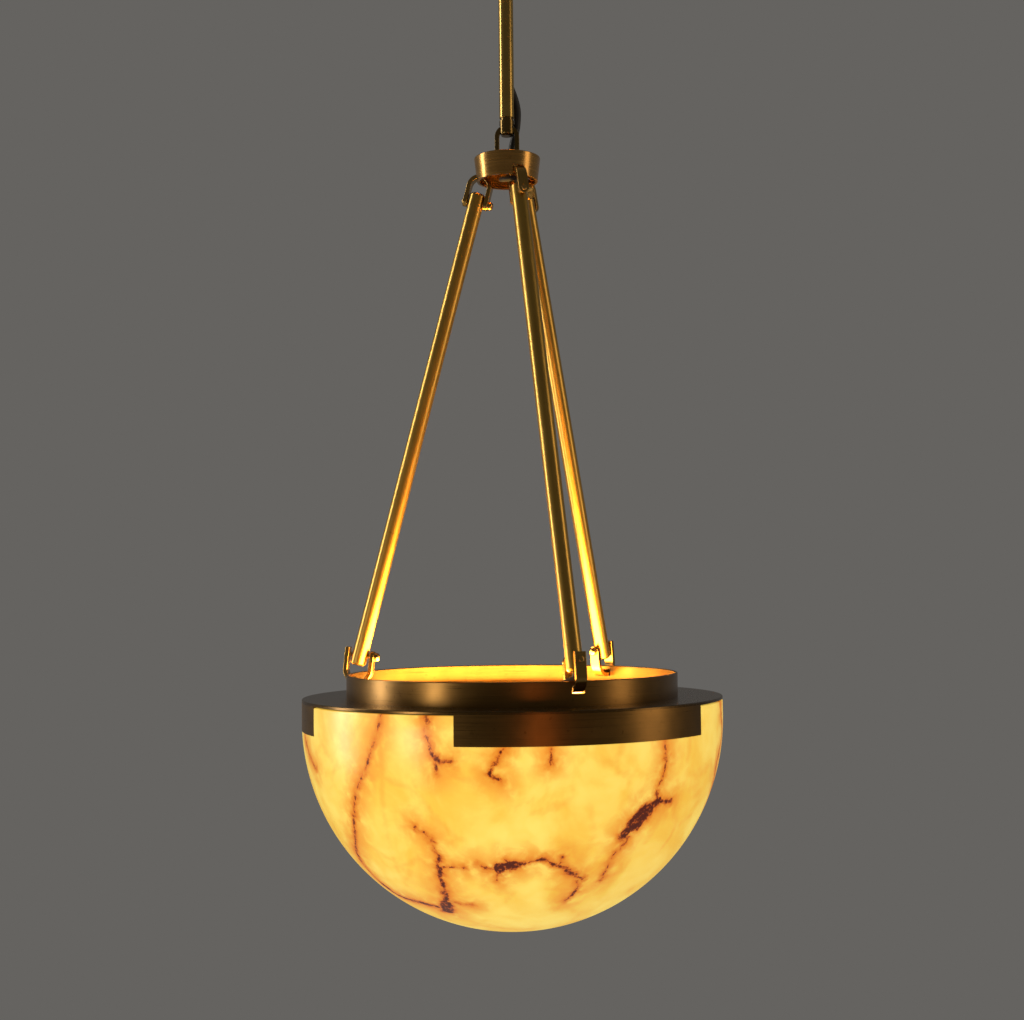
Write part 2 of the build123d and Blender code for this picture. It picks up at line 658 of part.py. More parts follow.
upper_pins = []
for number, azimuth in enumerate(LINKS, start=1):
    up_rod = leaning_up(azimuth, ROD_LEAN)
    across = leaning_out(azimuth, ROD_LEAN)
    bend = Plane(
        origin=spot(azimuth, UPPER_BEND_RADIUS, UPPER_BEND_Z),
        x_dir=across,
        z_dir=up_rod.cross(across),
    )
    save(bent_strap(bend, UPPER_HALF_SPAN, UPPER_LEG, None), f"upper_strap_{number}")
    pin_plane = Plane(origin=spot(azimuth, UPPER_PIN_RADIUS, UPPER_PIN_Z), z_dir=across)
    upper_pins.append(cross_pin(pin_plane, UPPER_HALF_SPAN))
save(group(upper_pins), "upper_pins")

# Rods --------------------------------------------------------------------------------------------

for number, azimuth in enumerate(LINKS, start=1):
    up_rod = leaning_up(azimuth, ROD_LEAN)
    up_strap = leaning_up(azimuth, LOWER_LEAN)
    across = leaning_out(azimuth, LOWER_LEAN)
    top_pin = spot(azimuth, UPPER_PIN_RADIUS, UPPER_PIN_Z)
    bottom_pin = spot(azimuth, LOWER_PIN_RADIUS, LOWER_PIN_Z)
    tube = straight_tube(
        bottom_pin + up_rod * ROD_END_SHOULDER,
        top_pin - up_rod * ROD_END_SHOULDER,
        ROD_R,
        ROD_R - ROD_WALL,
    )
    save(tube, f"rod_tube_{number}")
    top_end = rod_end(top_pin, up_rod, leaning_out(azimuth, ROD_LEAN), RUNNING_GAP)
    save(top_end, f"rod_top_end_{number}")
    save(rod_end(bottom_pin, -up_rod, across, PRESS_GAP), f"rod_bottom_end_{number}")
    bend = Plane(
        origin=spot(azimuth, LOWER_BEND_RADIUS, LOWER_BEND_Z),
        x_dir=across,
        z_dir=across.cross(up_strap),
    )
    strap = bent_strap(bend, LOWER_HALF_SPAN, LOWER_LEG, LOWER_OUTER_LEG)
    save(strap, f"lower_strap_{number}")
    pin = cross_pin(Plane(origin=bottom_pin, z_dir=across), LOWER_HALF_SPAN)
    save(pin, f"lower_pin_{number}")

near_up = leaning_up(FIRST_LINK, ROD_LEAN)
near_top = spot(FIRST_LINK, UPPER_PIN_RADIUS, UPPER_PIN_Z) + near_up * ROD_END_FREE
near_bottom = spot(FIRST_LINK, LOWER_PIN_RADIUS, LOWER_PIN_Z) - near_up * ROD_END_FREE
wires = []
for side in (-WIRE_OFFSET, WIRE_OFFSET):
    aside = sideways(FIRST_LINK) * side
    wires.append(straight_tube(near_bottom + aside, near_top + aside, WIRE_R))
save(group(wires), "rod_wires")

# The lead from the grommet to the near rod passes beside its strap. Its points are a radius and a
# sideways shift from the near rod's azimuth, and a height above the hub's bottom edge.
hub_lead_points = [
    Vector(GROMMET_X, GROMMET_Y, HUB_TOP_Z - 7.0),
    Vector(GROMMET_X, GROMMET_Y, HUB_TOP_Z - 14.0),
]
for radius, aside, above in ((2.0, -6.0, 2.0), (14.0, -12.0, -2.5), (24.0, -10.5, -4.3)):
    hub_lead_points.append(spot(FIRST_LINK, radius, HUB_BOTTOM_Z + above, aside))
hub_lead_points.append(near_top + near_up * 7.6)
hub_lead_points.append(near_top + near_up * 0.5)
save(cord("hub_lead", hub_lead_points, LEAD_R), "hub_lead")

# Collar, flange and skirt ------------------------------------------------------------------------

with BuildPart() as collar:
    add(ring(COLLAR_R, COLLAR_R - COLLAR_WALL, FLANGE_TOP_Z, COLLAR_H))
    fillet(collar.edges().group_by(Axis.Z)[-1], 0.8)
    for azimuth in LINKS:
        across = Plane(origin=(0, 0, 0), x_dir=sideways(azimuth), z_dir=outward(azimuth))
        with BuildSketch(across):
            with Locations((0, (SLOT_TOP_Z + SLOT_BOTTOM_Z) / 2)):
                Rectangle(STRAP_WIDTH + 2 * SLOT_GAP, SLOT_TOP_Z - SLOT_BOTTOM_Z)
        extrude(amount=2 * COLLAR_R, mode=Mode.SUBTRACT)
save(collar.part, "collar")

with BuildPart() as flange:
    add(ring(RIM_R, COLLAR_R - COLLAR_WALL, FLANGE_Z, FLANGE_T))
    fillet(flange.edges().group_by(Axis.Z)[-1].sort_by(SortBy.RADIUS)[-1], 0.8)
save(flange.part, "flange")


def rim_arc(azimuth, arc, outline):
    """Outline in radius and height, swept about the Z axis, centred on an azimuth."""
    with BuildPart() as piece:
        with BuildSketch(upright(azimuth - arc / 2)):
            with BuildLine():
                Polyline(*outline, close=True)
            make_face()
        revolve(axis=Axis.Z, revolution_arc=arc)
    return piece.part


def rim_box(outer_r, inner_r, top_z, bottom_z):
    """Outline of a rectangular section, for rim_arc."""
    return [(inner_r, top_z), (outer_r, top_z), (outer_r, bottom_z), (inner_r, bottom_z)]


for number, azimuth in enumerate(LINKS, start=1):
    section = rim_box(RIM_R, RIM_R - SKIRT_T, FLANGE_Z, SKIRT_Z)
    save(rim_arc(azimuth, SKIRT_ARC, section), f"skirt_{number}")

# Alabaster bowl, gasket and clips ----------------------------------------------------------------

REBATE_R = RIM_R - SKIRT_T - LOOSE_GAP
rebate_section = rim_box(RIM_R + BOWL_WALL, REBATE_R, FLANGE_Z, SKIRT_Z - LOOSE_GAP)
rebate_arc = SKIRT_ARC + 0.2
rebates = [rim_arc(azimuth, rebate_arc, rebate_section) for azimuth in LINKS]

with BuildPart() as alabaster_bowl:
    with BuildSketch(Plane.XZ):
        with BuildLine():
            Line((0, BOWL_CENTRE_Z - RIM_R), (0, BOWL_CENTRE_Z - BOWL_INNER_R))
            CenterArc((0, BOWL_CENTRE_Z), BOWL_INNER_R, -90, 90)
            Polyline(
                (BOWL_INNER_R, BOWL_CENTRE_Z),
                (BOWL_INNER_R, BOWL_TOP_Z),
                (RIM_R, BOWL_TOP_Z),
                (RIM_R, BOWL_CENTRE_Z),
            )
            CenterArc((0, BOWL_CENTRE_Z), RIM_R, -90, 90)
        make_face()
    revolve(axis=Axis.Z)
    with BuildSketch(Plane.XY.offset(TOE_TOP_Z)):
        Circle(BOWL_INNER_R + GROOVE_DEPTH)
    extrude(amount=-CLIP_TOE_T - LOOSE_GAP, mode=Mode.SUBTRACT)
    for rebate in rebates:
        add(rebate, mode=Mode.SUBTRACT)
save(alabaster_bowl.part, "alabaster_bowl")

gasket = ring(BOWL_INNER_R + 1 + GASKET_WIDTH, BOWL_INNER_R + 1, BOWL_TOP_Z, GASKET_T)
save(gasket, "rim_gasket")

CLIP_LEG_R = BOWL_INNER_R - LOOSE_GAP
CLIP_BOTTOM_Z = TOE_TOP_Z - CLIP_TOE_T
clip_section = [
    (BOWL_INNER_R - CLIP_REACH, FLANGE_Z),
    (CLIP_LEG_R, FLANGE_Z),
    (CLIP_LEG_R, TOE_TOP_Z),
    (BOWL_INNER_R + CLIP_TOE, TOE_TOP_Z),
    (BOWL_INNER_R + CLIP_TOE, CLIP_BOTTOM_Z),
    (CLIP_LEG_R - CLIP_T, CLIP_BOTTOM_Z),
    (CLIP_LEG_R - CLIP_T, FLANGE_Z - CLIP_T),
    (BOWL_INNER_R - CLIP_REACH, FLANGE_Z - CLIP_T),
]
clips = []
studs = []
stud_nuts = []
for azimuth in CLIPS:
    with BuildPart() as clip:
        add(rim_arc(azimuth, CLIP_ARC, clip_section))
        with BuildSketch(Plane(origin=spot(azimuth, CLIP_STUD_RADIUS, FLANGE_Z), z_dir=UP)):
            Circle(STUD_R + STUD_HOLE_GAP)
        extrude(amount=-CLIP_T, mode=Mode.SUBTRACT)
    clips.append(clip.part)
    for radius, grip in ((ARM_STUD_RADIUS, ARM_T), (CLIP_STUD_RADIUS, CLIP_T)):
        top = spot(azimuth, radius, FLANGE_Z)
        studs.append(straight_tube(top - UP * STUD_LENGTH, top, STUD_R))
        stud_nuts.append(
            hexagon_nut(azimuth, radius, FLANGE_Z - grip, NUT_R, NUT_T, STUD_R + PRESS_GAP)
        )
save(group(clips), "bowl_clips")
save(group(studs), "flange_studs")
save(group(stud_nuts), "stud_nuts")

# Lamp spider, junction box, lampholders and bulbs ------------------------------------------------

with BuildPart() as lamp_spider:
    with BuildSketch(Plane.XY.offset(ARM_Z)):
        Circle(SPIDER_HUB_R)
    extrude(amount=ARM_T)
    for azimuth in CLIPS:
        with BuildSketch(Plane(origin=(0, 0, ARM_Z), x_dir=outward(azimuth), z_dir=UP)):
            Rectangle(ARM_STUD_RADIUS + ARM_OVERHANG, ARM_WIDTH, align=(Align.MIN, Align.CENTER))
            with Locations((ARM_STUD_RADIUS, 0)):
                Circle(STUD_R + STUD_HOLE_GAP, mode=Mode.SUBTRACT)
            with Locations((LAMP_RADIUS, 0)):
                Circle(NIPPLE_R + STUD_HOLE_GAP, mode=Mode.SUBTRACT)
        extrude(amount=ARM_T)
    with BuildSketch(Plane.XY.offset(ARM_Z)):
        Circle(SPIDER_BORE_R)
    extrude(amount=ARM_T, mode=Mode.SUBTRACT)
save(lamp_spider.part, "lamp_spider")

PORT_Z = ARM_Z - BOX_H / 2
with BuildPart() as junction_box:
    with BuildSketch(Plane.XY.offset(ARM_Z - BOX_H)):
        Circle(BOX_R)
    extrude(amount=BOX_H)
    fillet(junction_box.edges().group_by(Axis.Z)[0], 3.0)
    offset(amount=-BOX_WALL, openings=junction_box.faces().sort_by(Axis.Z)[-1])
    for azimuth in CLIPS:
        with BuildSketch(Plane(origin=(0, 0, PORT_Z), z_dir=outward(azimuth))):
            Circle(BOX_PORT_R)
        extrude(amount=2 * BOX_R, mode=Mode.SUBTRACT)
save(junction_box.part, "junction_box")

shoulder = radians(GLOBE_SHOULDER)
globe_z = CAP_Z - GLOBE_DROP
neck_z = CAP_Z - GLOBE_NECK
inner_globe_r = GLOBE_R - GLOBE_WALL
inner_neck_r = GLOBE_NECK_R - GLOBE_WALL
holder_nuts = []
holder_leads = []
for number, azimuth in enumerate(CLIPS, start=1):
    axis_point = spot(azimuth, LAMP_RADIUS, 0)
    with BuildPart() as lampholder:
        with BuildSketch(Plane(origin=axis_point + UP * HOLDER_Z, z_dir=UP)):
            Circle(HOLDER_R)
        extrude(amount=HOLDER_H)
        fillet(lampholder.edges().group_by(Axis.Z)[-1], 3.0)
        with BuildSketch(Plane(origin=axis_point + UP * ARM_Z, z_dir=UP)):
            Circle(NIPPLE_R)
        extrude(amount=NIPPLE_H)
        with BuildSketch(Plane(origin=axis_point + UP * HOLDER_Z, z_dir=UP)):
            Circle(HOLDER_BORE_R)
        extrude(amount=HOLDER_H - HOLDER_TOP_T, mode=Mode.SUBTRACT)
    save(lampholder.part, f"lampholder_{number}")
    nut_top = FLANGE_Z + HOLDER_NUT_T
    holder_nuts.append(
        hexagon_nut(azimuth, LAMP_RADIUS, nut_top, HOLDER_NUT_R, HOLDER_NUT_T, NIPPLE_R + PRESS_GAP)
    )
    save(
        straight_tube(axis_point + UP * CAP_Z, axis_point + UP * SOCKET_TOP_Z, CAP_R),
        f"bulb_cap_{number}",
    )
    outline = Plane(origin=axis_point, x_dir=outward(azimuth), z_dir=outward(azimuth).cross(UP))
    with BuildPart() as bulb_globe:
        with BuildSketch(outline):
            with BuildLine():
                Line((inner_neck_r, CAP_Z), (GLOBE_NECK_R, CAP_Z))
                Line((GLOBE_NECK_R, CAP_Z), (GLOBE_NECK_R, neck_z))
                Line(
                    (GLOBE_NECK_R, neck_z),
                    (GLOBE_R * sin(shoulder), globe_z + GLOBE_R * cos(shoulder)),
                )
                CenterArc((0, globe_z), GLOBE_R, -90, 180 - GLOBE_SHOULDER)
                Line((0, globe_z - GLOBE_R), (0, globe_z - inner_globe_r))
                CenterArc((0, globe_z), inner_globe_r, -90, 180 - GLOBE_SHOULDER)
                Line(
                    (inner_globe_r * sin(shoulder), globe_z + inner_globe_r * cos(shoulder)),
                    (inner_neck_r, neck_z),
                )
                Line((inner_neck_r, neck_z), (inner_neck_r, CAP_Z))
            make_face()
        revolve(axis=Axis(axis_point, UP))
    save(bulb_globe.part, f"bulb_globe_{number}")
    holder_leads.append(
        straight_tube(
            spot(azimuth, BOX_R - 2 * BOX_WALL, PORT_Z),
            spot(azimuth, LAMP_RADIUS - HOLDER_R - LOOSE_GAP, PORT_Z),
            HOLDER_LEAD_R,
        )
    )
save(group(holder_nuts), "holder_nuts")
save(group(holder_leads), "holder_leads")

# The lead from the near rod's lower end to the junction box stays below the collar's rim, out of
# sight. Its points are a share of the way out to the rod's end, a sideways shift from the near
# rod's azimuth, and a height above the flange's underside.
LEAD_START = near_bottom - near_up * 1.5
LEAD_START_RADIUS = sqrt(LEAD_START.X**2 + LEAD_START.Y**2)
bowl_lead_points = [LEAD_START]
for share, aside, above in (
    (1.003, -1.5, 26.0),
    (0.983, -10.0, 22.5),
    (0.911, -14.0, 17.0),
    (0.773, -15.0, 11.0),
    (0.577, -11.0, 7.5),
    (0.341, -8.0, 7.0),
    (0.131, -3.0, 8.0),
):
    radius = share * LEAD_START_RADIUS
    bowl_lead_points.append(spot(FIRST_LINK, radius, FLANGE_Z + above, aside))
bowl_lead_points.append(Vector(0, 0, FLANGE_Z + 3.0))
bowl_lead_points.append(Vector(0, 0, ARM_Z - 6.0))
save(cord("bowl_lead", bowl_lead_points, LEAD_R), "bowl_lead")
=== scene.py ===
"""Looks, light and camera for an alabaster bowl pendant with a brushed brass frame."""
import logging
from dataclasses import dataclass
from enum import Enum
from math import cos, pi, radians, sin
from typing import Any

import bpy
import numpy as np
from mathutils import Matrix, Vector


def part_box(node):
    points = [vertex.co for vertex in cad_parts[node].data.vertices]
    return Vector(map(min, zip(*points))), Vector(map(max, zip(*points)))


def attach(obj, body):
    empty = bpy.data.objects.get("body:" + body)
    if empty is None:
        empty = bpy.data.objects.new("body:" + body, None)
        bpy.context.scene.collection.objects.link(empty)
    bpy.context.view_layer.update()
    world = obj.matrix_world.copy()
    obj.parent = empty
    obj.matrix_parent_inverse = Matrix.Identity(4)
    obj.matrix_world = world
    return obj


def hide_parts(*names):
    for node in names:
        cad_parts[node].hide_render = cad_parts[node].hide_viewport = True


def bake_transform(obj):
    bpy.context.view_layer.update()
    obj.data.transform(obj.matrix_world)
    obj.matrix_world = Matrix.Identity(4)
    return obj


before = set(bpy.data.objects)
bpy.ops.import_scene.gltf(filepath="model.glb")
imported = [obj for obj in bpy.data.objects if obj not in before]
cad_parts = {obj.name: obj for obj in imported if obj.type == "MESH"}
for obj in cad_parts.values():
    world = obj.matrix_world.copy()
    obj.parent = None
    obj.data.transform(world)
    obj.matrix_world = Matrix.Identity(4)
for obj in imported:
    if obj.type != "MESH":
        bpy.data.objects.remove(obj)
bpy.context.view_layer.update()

logging.basicConfig(level=logging.INFO, format="%(message)s")
log = logging.getLogger("pendant")

Points = np.ndarray
Link = bpy.types.NodeSocket
Tree = bpy.types.NodeTree

MM = 0.001

# Sizes and heights that the looks share, in metres; the ceiling is at height 0
RIM_RADIUS = 0.200
BOWL_INNER_RADIUS = 0.188
GASKET = 1.0 * MM
STRAIGHT_WALL = 15.5 * MM
FLANGE_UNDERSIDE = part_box("flange")[0][2]
BOWL_TOP = FLANGE_UNDERSIDE - GASKET
BOWL_CENTRE = BOWL_TOP - STRAIGHT_WALL
FIRST_LINK = 21.25  # azimuth of the rod nearest the viewer, degrees
LINKS = 3  # rods, straps and skirt segments around the bowl
LINK_TURN = 360.0 / LINKS
FAR = 1.0  # more than the distance of any two points of the bowl

# Numbers of a Mix node's two colour inputs and of its colour output
UNDER, OVER, MIXED = 6, 7, 2


# ---- Colours and nodes ----


def linear(code: str) -> tuple[float, float, float, float]:
    """Turn an sRGB hex colour into linear light.

    Args:
        code: Colour such as "#b08a4c".

    Returns:
        Red, green, blue and an alpha of 1.
    """
    srgb = np.array([int(code[i : i + 2], 16) for i in (1, 3, 5)]) / 255
    light = np.where(srgb <= 0.04045, srgb / 12.92, ((srgb + 0.055) / 1.055) ** 2.4)
    return (*(float(channel) for channel in light), 1.0)


def feed(tree: Tree, node: Any, sockets: dict | tuple) -> None:
    """Give a node its plain inputs and its links.

    Args:
        tree: Node tree that holds the node.
        node: Node to feed.
        sockets: Values, or outputs to link: by input name or number, or for its first inputs.
    """
    for name, value in sockets.items() if isinstance(sockets, dict) else enumerate(sockets):
        if isinstance(value, Link):
            tree.links.new(value, node.inputs[name])
        else:
            node.inputs[name].default_value = value


def add(tree: Tree, kind: str, sockets: dict | tuple = (), **settings: Any) -> Any:
    """Add a node, with its settings, its plain inputs and its links.

    The first inputs of a MapRange are its value, the two ends of the range that it comes from and
    the results at those ends.

    Args:
        tree: Node tree that gets the node.
        kind: Node type without its "ShaderNode" prefix.
        sockets: What feeds it, as for feed.
        settings: Properties of the node itself.

    Returns:
        The new node.
    """
    made = tree.nodes.new("ShaderNode" + kind)
    for name, value in settings.items():
        setattr(made, name, value)
    feed(tree, made, sockets)
    return made


def blank_material(name: str) -> tuple[bpy.types.Material, Tree, Any]:
    """Make a material that holds a Principled shader alone.

    Args:
        name: Real material and how its surface was made.

    Returns:
        The material, its node tree and the Principled node.
    """
    material = bpy.data.materials.new(name)
    material.use_nodes = True
    tree = material.node_tree
    tree.nodes.clear()
    shader = add(tree, "BsdfPrincipled")
    add(tree, "OutputMaterial", {"Surface": shader.outputs[0]})
    return material, tree, shader


# ---- Finishes ----


class Brushing(Enum):
    """Way the abrasive ran over a metal piece, as scratches in a metre along X, Y and Z.

    FINE is a satin with grains of 0.7 mm, coarser than real ones so that it shows.
    """

    AROUND = (14.0, 14.0, 900.0)
    ALONG = (260.0, 260.0, 5.0)
    FINE = (1500.0, 1500.0, 1500.0)


@dataclass(frozen=True)
class BrushedBrass:
    """Brass sheet, bar or tube, brushed or polished and aged brown.

    The scratches give long soft highlights across themselves. The brown lies in patches about 30 mm
    across, with a few dark specks.

    Attributes:
        name: Material name.
        metal: Colour where the brass is clean.
        patina: Colour where it is aged.
        aged: Share of the surface that is aged, 0 to 1.
        roughness: Middle roughness.
        brushing: Way the scratches run.
        relief: Strength of the scratches in the light, 0 to 1.
        lean: Degrees that a leaning piece is off the vertical, towards its azimuth.
        azimuth: Direction of that lean, degrees.
        clouds: Patches of patina in a metre.
        specks: Places in a metre where a dark speck may sit.
        speck: Colour of a speck.
        scratch_depth: Depth of a scratch at full relief, metres.
    """

    name: str
    metal: str
    patina: str
    aged: float = 0.45
    roughness: float = 0.3
    brushing: Brushing = Brushing.FINE
    relief: float = 0.2
    lean: float = 0.0
    azimuth: float = 0.0
    clouds: float = 34.0
    specks: float = 240.0
    speck: str = "#3b2a14"
    scratch_depth: float = 0.04 * MM

    def build(self) -> bpy.types.Material:
        """Make the material.

        Returns:
            The material.
        """
        material, tree, shader = blank_material(self.name)
        place = add(tree, "TexCoord").outputs["Object"]
        # a leaning rod is turned upright first: about Z to face it, then about X by its lean
        upright = place
        for axis, angle in (("Z_AXIS", -self.azimuth), ("X_AXIS", self.lean)):
            turned = {"Vector": upright, "Angle": radians(angle)}
            upright = add(tree, "VectorRotate", turned, rotation_type=axis).outputs[0]
        stretched = add(tree, "Mapping", {"Vector": upright, "Scale": self.brushing.value})
        scratches, clouds, specks = (
            add(tree, "TexNoise", noise).outputs["Fac"]
            for noise in (
                {"Vector": stretched.outputs[0], "Scale": 1.0, "Detail": 3.0, "Roughness": 0.65},
                {"Vector": place, "Scale": self.clouds, "Detail": 5.0},
                {"Vector": place, "Scale": self.specks, "Detail": 2.0},
            )
        )
        span = (clouds, 0.3, 0.7, self.aged * 0.8, min(1.0, self.aged * 1.2))
        patch = add(tree, "MapRange", span, interpolation_type="SMOOTHSTEP")
        worn = add(tree, "MapRange", (scratches, 0.3, 0.75, 0.1, -0.1))
        share = add(tree, "Math", (patch.outputs[0], worn.outputs[0]), operation="ADD", use_clamp=True)
        speck = add(tree, "MapRange", (specks, 0.66, 0.74, 0.0, 0.35))
        colour = linear(self.metal)
        for part, over in ((share, self.patina), (speck, self.speck)):
            mix = {0: part.outputs[0], UNDER: colour, OVER: linear(over)}
            colour = add(tree, "Mix", mix, data_type="RGBA").outputs[MIXED]
        span = (scratches, 0.25, 0.8, self.roughness - 0.04, self.roughness + 0.06)
        rough = add(tree, "MapRange", span)
        relief = {"Height": scratches, "Strength": self.relief, "Distance": self.scratch_depth}
        bump = add(tree, "Bump", relief)
        surface = {
            "Base Color": colour,
            "Metallic": 1.0,
            "Roughness": rough.outputs[0],
            "Normal": bump.outputs[0],
        }
        feed(tree, shader, surface)
        return material


@dataclass(frozen=True)
class PlainFinish:
    """Moulded, plated, glazed or glass surface with a fine grain of its own.

    Attributes:
        name: Material name.
        colour: Main colour.
        second: Colour that it drifts to in soft clouds.
        roughness: Middle roughness.
        metallic: 1 for plating, 0 for the rest.
        grain: Grains in a metre.
        relief: Height of the grain, metres.
        light: Strength of its own light.
        coat: Glaze or lacquer, 0 to 1.
        clouds: Clouds of the second colour in a metre.
    """

    name: str
    colour: str
    second: str
    roughness: float
    metallic: float = 0.0
    grain: float = 900.0
    relief: float = 0.03 * MM
    light: float = 0.0
    coat: float = 0.0
    clouds: float = 60.0

    def build(self) -> bpy.types.Material:
        """Make the material.

        Returns:
            The material.
        """
        material, tree, shader = blank_material(self.name)
        place = add(tree, "TexCoord").outputs["Object"]
        clouds = add(tree, "TexNoise", {"Vector": place, "Scale": self.clouds, "Detail": 4.0})
        grain = add(tree, "TexNoise", {"Vector": place, "Scale": self.grain, "Detail": 2.0})
        mix = {0: clouds.outputs["Fac"], UNDER: linear(self.colour), OVER: linear(self.second)}
        colour = add(tree, "Mix", mix, data_type="RGBA")
        low, high = max(self.roughness - 0.08, 0.02), self.roughness + 0.08
        rough = add(tree, "MapRange", (grain.outputs["Fac"], 0.0, 1.0, low, high))
        relief = {"Height": grain.outputs["Fac"], "Strength": 0.4, "Distance": self.relief}
        bump = add(tree, "Bump", relief)
        surface = {
            "Base Color": colour.outputs[MIXED],
            "Metallic": self.metallic,
            "Roughness": rough.outputs[0],
            "Normal": bump.outputs[0],
            "Coat Weight": self.coat,
        }
        if self.light:
            surface |= {"Emission Color": linear(self.colour), "Emission Strength": self.light}
        feed(tree, shader, surface)
        return material


# bright zinc on steel sheet and screws
ZINC = {"colour": "#a9adb0", "second": "#8f9498", "metallic": 1.0, "grain": 500.0}


def dress(finish: BrushedBrass | PlainFinish, *names: str) -> None:
    """Give one finish to nodes of the model.

    Args:
        finish: Finish for every slot of theirs.
        names: Nodes whose shape is kept.
    """
    material = finish.build()
    for name in names:
        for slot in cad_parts[name].material_slots:
            slot.material = material
        log.info("dressed %s in %s", name, material.name)


@dataclass(frozen=True)
class Vein:
    """One run of dark iron staining in the stone.

    Attributes:
        half_width: Half the run's width, mm.
        points: Azimuth in degrees and drop below the flange in mm, point by point.
    """

    half_width: float
    points: tuple[tuple[float, float], ...]

    def on_bowl(self) -> Points:
        """Place the run's points on the bowl's outer surface, in metres.

        Above the hemisphere's centre the surface is a cylinder; below it the radius at a depth d is
        the square root of R squared less d squared.

        Returns:
            One row of X, Y, Z for each point.
        """
        azimuth, drop = np.radians(np.array(self.points)[:, 0]), np.array(self.points)[:, 1] * MM
        z = FLANGE_UNDERSIDE - drop
        depth = np.clip(BOWL_CENTRE - z, 0.0, RIM_RADIUS)
        radius = np.sqrt(RIM_RADIUS**2 - depth**2)
        return np.stack([radius * np.sin(azimuth), -radius * np.cos(azimuth), z], axis=1)


VEINS = (
    # seen from the front, from left to right
    Vein(0.5, ((-34, 1), (-35, 14), (-38, 38), (-43, 62), (-48, 89))),
    Vein(1.1, ((-48, 89), (-54, 115), (-60, 132), (-62, 147), (-61, 163))),
    Vein(2.0, ((-61, 163), (-57, 172), (-47, 174), (-36, 177), (-31, 180))),
    Vein(1.3, ((-21, 0), (-21, 19), (-20, 34), (-18, 40))),
    Vein(0.6, ((-18, 40), (-15, 39))),
    Vein(0.6, ((-19, 40), (-19, 50))),
    Vein(0.6, ((-2, 28), (-4, 40), (-6, 48), (-3, 55))),
    Vein(0.4, ((9, 29), (9, 40))),
    Vein(1.1, ((-27, 96), (-23, 106), (-22, 121), (-23, 132))),
    Vein(2.1, ((-23, 132), (-24, 147), (-26, 162), (-28, 171), (-34, 182))),
    Vein(6.0, ((-28, 172), (-31, 180))),
    Vein(0.4, ((-23, 132), (-19, 133), (-15, 133))),
    Vein(0.5, ((-26, 167), (-17, 171))),
    Vein(1.1, ((-11, 129), (-8, 133), (-4, 135))),
    Vein(5.6, ((-4, 133), (0, 130))),
    Vein(0.6, ((-1, 130), (-2, 124))),
    Vein(1.6, ((0, 130), (5, 125), (9, 125), (14, 131), (19, 140), (23, 145))),
    Vein(1.1, ((21, 146), (22, 158), (20, 168))),
    Vein(0.5, ((-4, 135), (-5, 144))),
    Vein(0.5, ((14, 131), (14, 123))),
    Vein(0.4, ((41, 29), (42, 42), (41, 57), (40, 71))),
    Vein(1.9, ((40, 71), (41, 82), (46, 81))),
    Vein(5.0, ((41, 82), (38, 86))),
    Vein(8.5, ((37, 88), (35, 97))),
    Vein(4.6, ((34, 98), (32, 108))),
    Vein(0.4, ((34, 110), (31, 124), (30, 150))),
    Vein(0.5, ((-72, 30), (-70, 44), (-65, 56))),
    # round the right side, the back and the left side
    Vein(0.6, ((74, 2), (77, 30), (73, 58), (78, 84))),
    Vein(1.7, ((78, 84), (84, 108), (82, 134), (90, 158))),
    Vein(3.6, ((82, 118), (86, 128))),
    Vein(0.5, ((84, 108), (97, 100), (104, 108))),
    Vein(1.1, ((118, 28), (122, 52), (119, 66), (128, 88))),
    Vein(0.5, ((119, 66), (110, 78))),
    Vein(1.9, ((146, 112), (152, 124), (164, 122), (172, 134))),
    Vein(4.4, ((154, 122), (160, 126))),
    Vein(0.9, ((172, 134), (176, 156), (170, 174))),
    Vein(0.6, ((160, 0), (163, 26), (158, 48), (166, 72))),
    Vein(1.3, ((198, 28), (194, 60), (202, 92), (198, 120), (212, 148))),
    Vein(0.5, ((194, 60), (184, 74))),
    Vein(3.2, ((200, 104), (199, 116))),
    Vein(0.6, ((236, 2), (232, 34), (240, 64), (236, 90))),
    Vein(2.0, ((236, 90), (246, 118), (242, 146), (256, 172))),
    Vein(4.6, ((242, 128), (243, 138))),
    Vein(0.6, ((262, 60), (268, 82), (262, 104))),
    Vein(0.5, ((110, 168), (140, 186), (200, 190))),
)


class Measure(Enum):
    """Quantity that varies over the stone and that its colours follow."""

    BROAD = "clouds about 65 mm across"
    SMALL = "clouds about 16 mm across"
    PORES = "grains about 3 mm across"
    CELLS = "distance to the border of a cell, as a share of 60 mm"
    AWAY = "metres to the nearest vein"
    EDGE = "metres to the nearest vein's ragged edge"


@dataclass(frozen=True)
class Fade:
    """Share of a colour that falls from its top to nothing along a measure.

    Attributes:
        measure: Quantity that it follows.
        near: Value where the share is at its top.
        far: Value where the share is nothing.
        top: Largest share.
        smooth: Whether it eases in and out.
    """

    measure: Measure
    near: float
    far: float
    top: float = 1.0
    smooth: bool = True


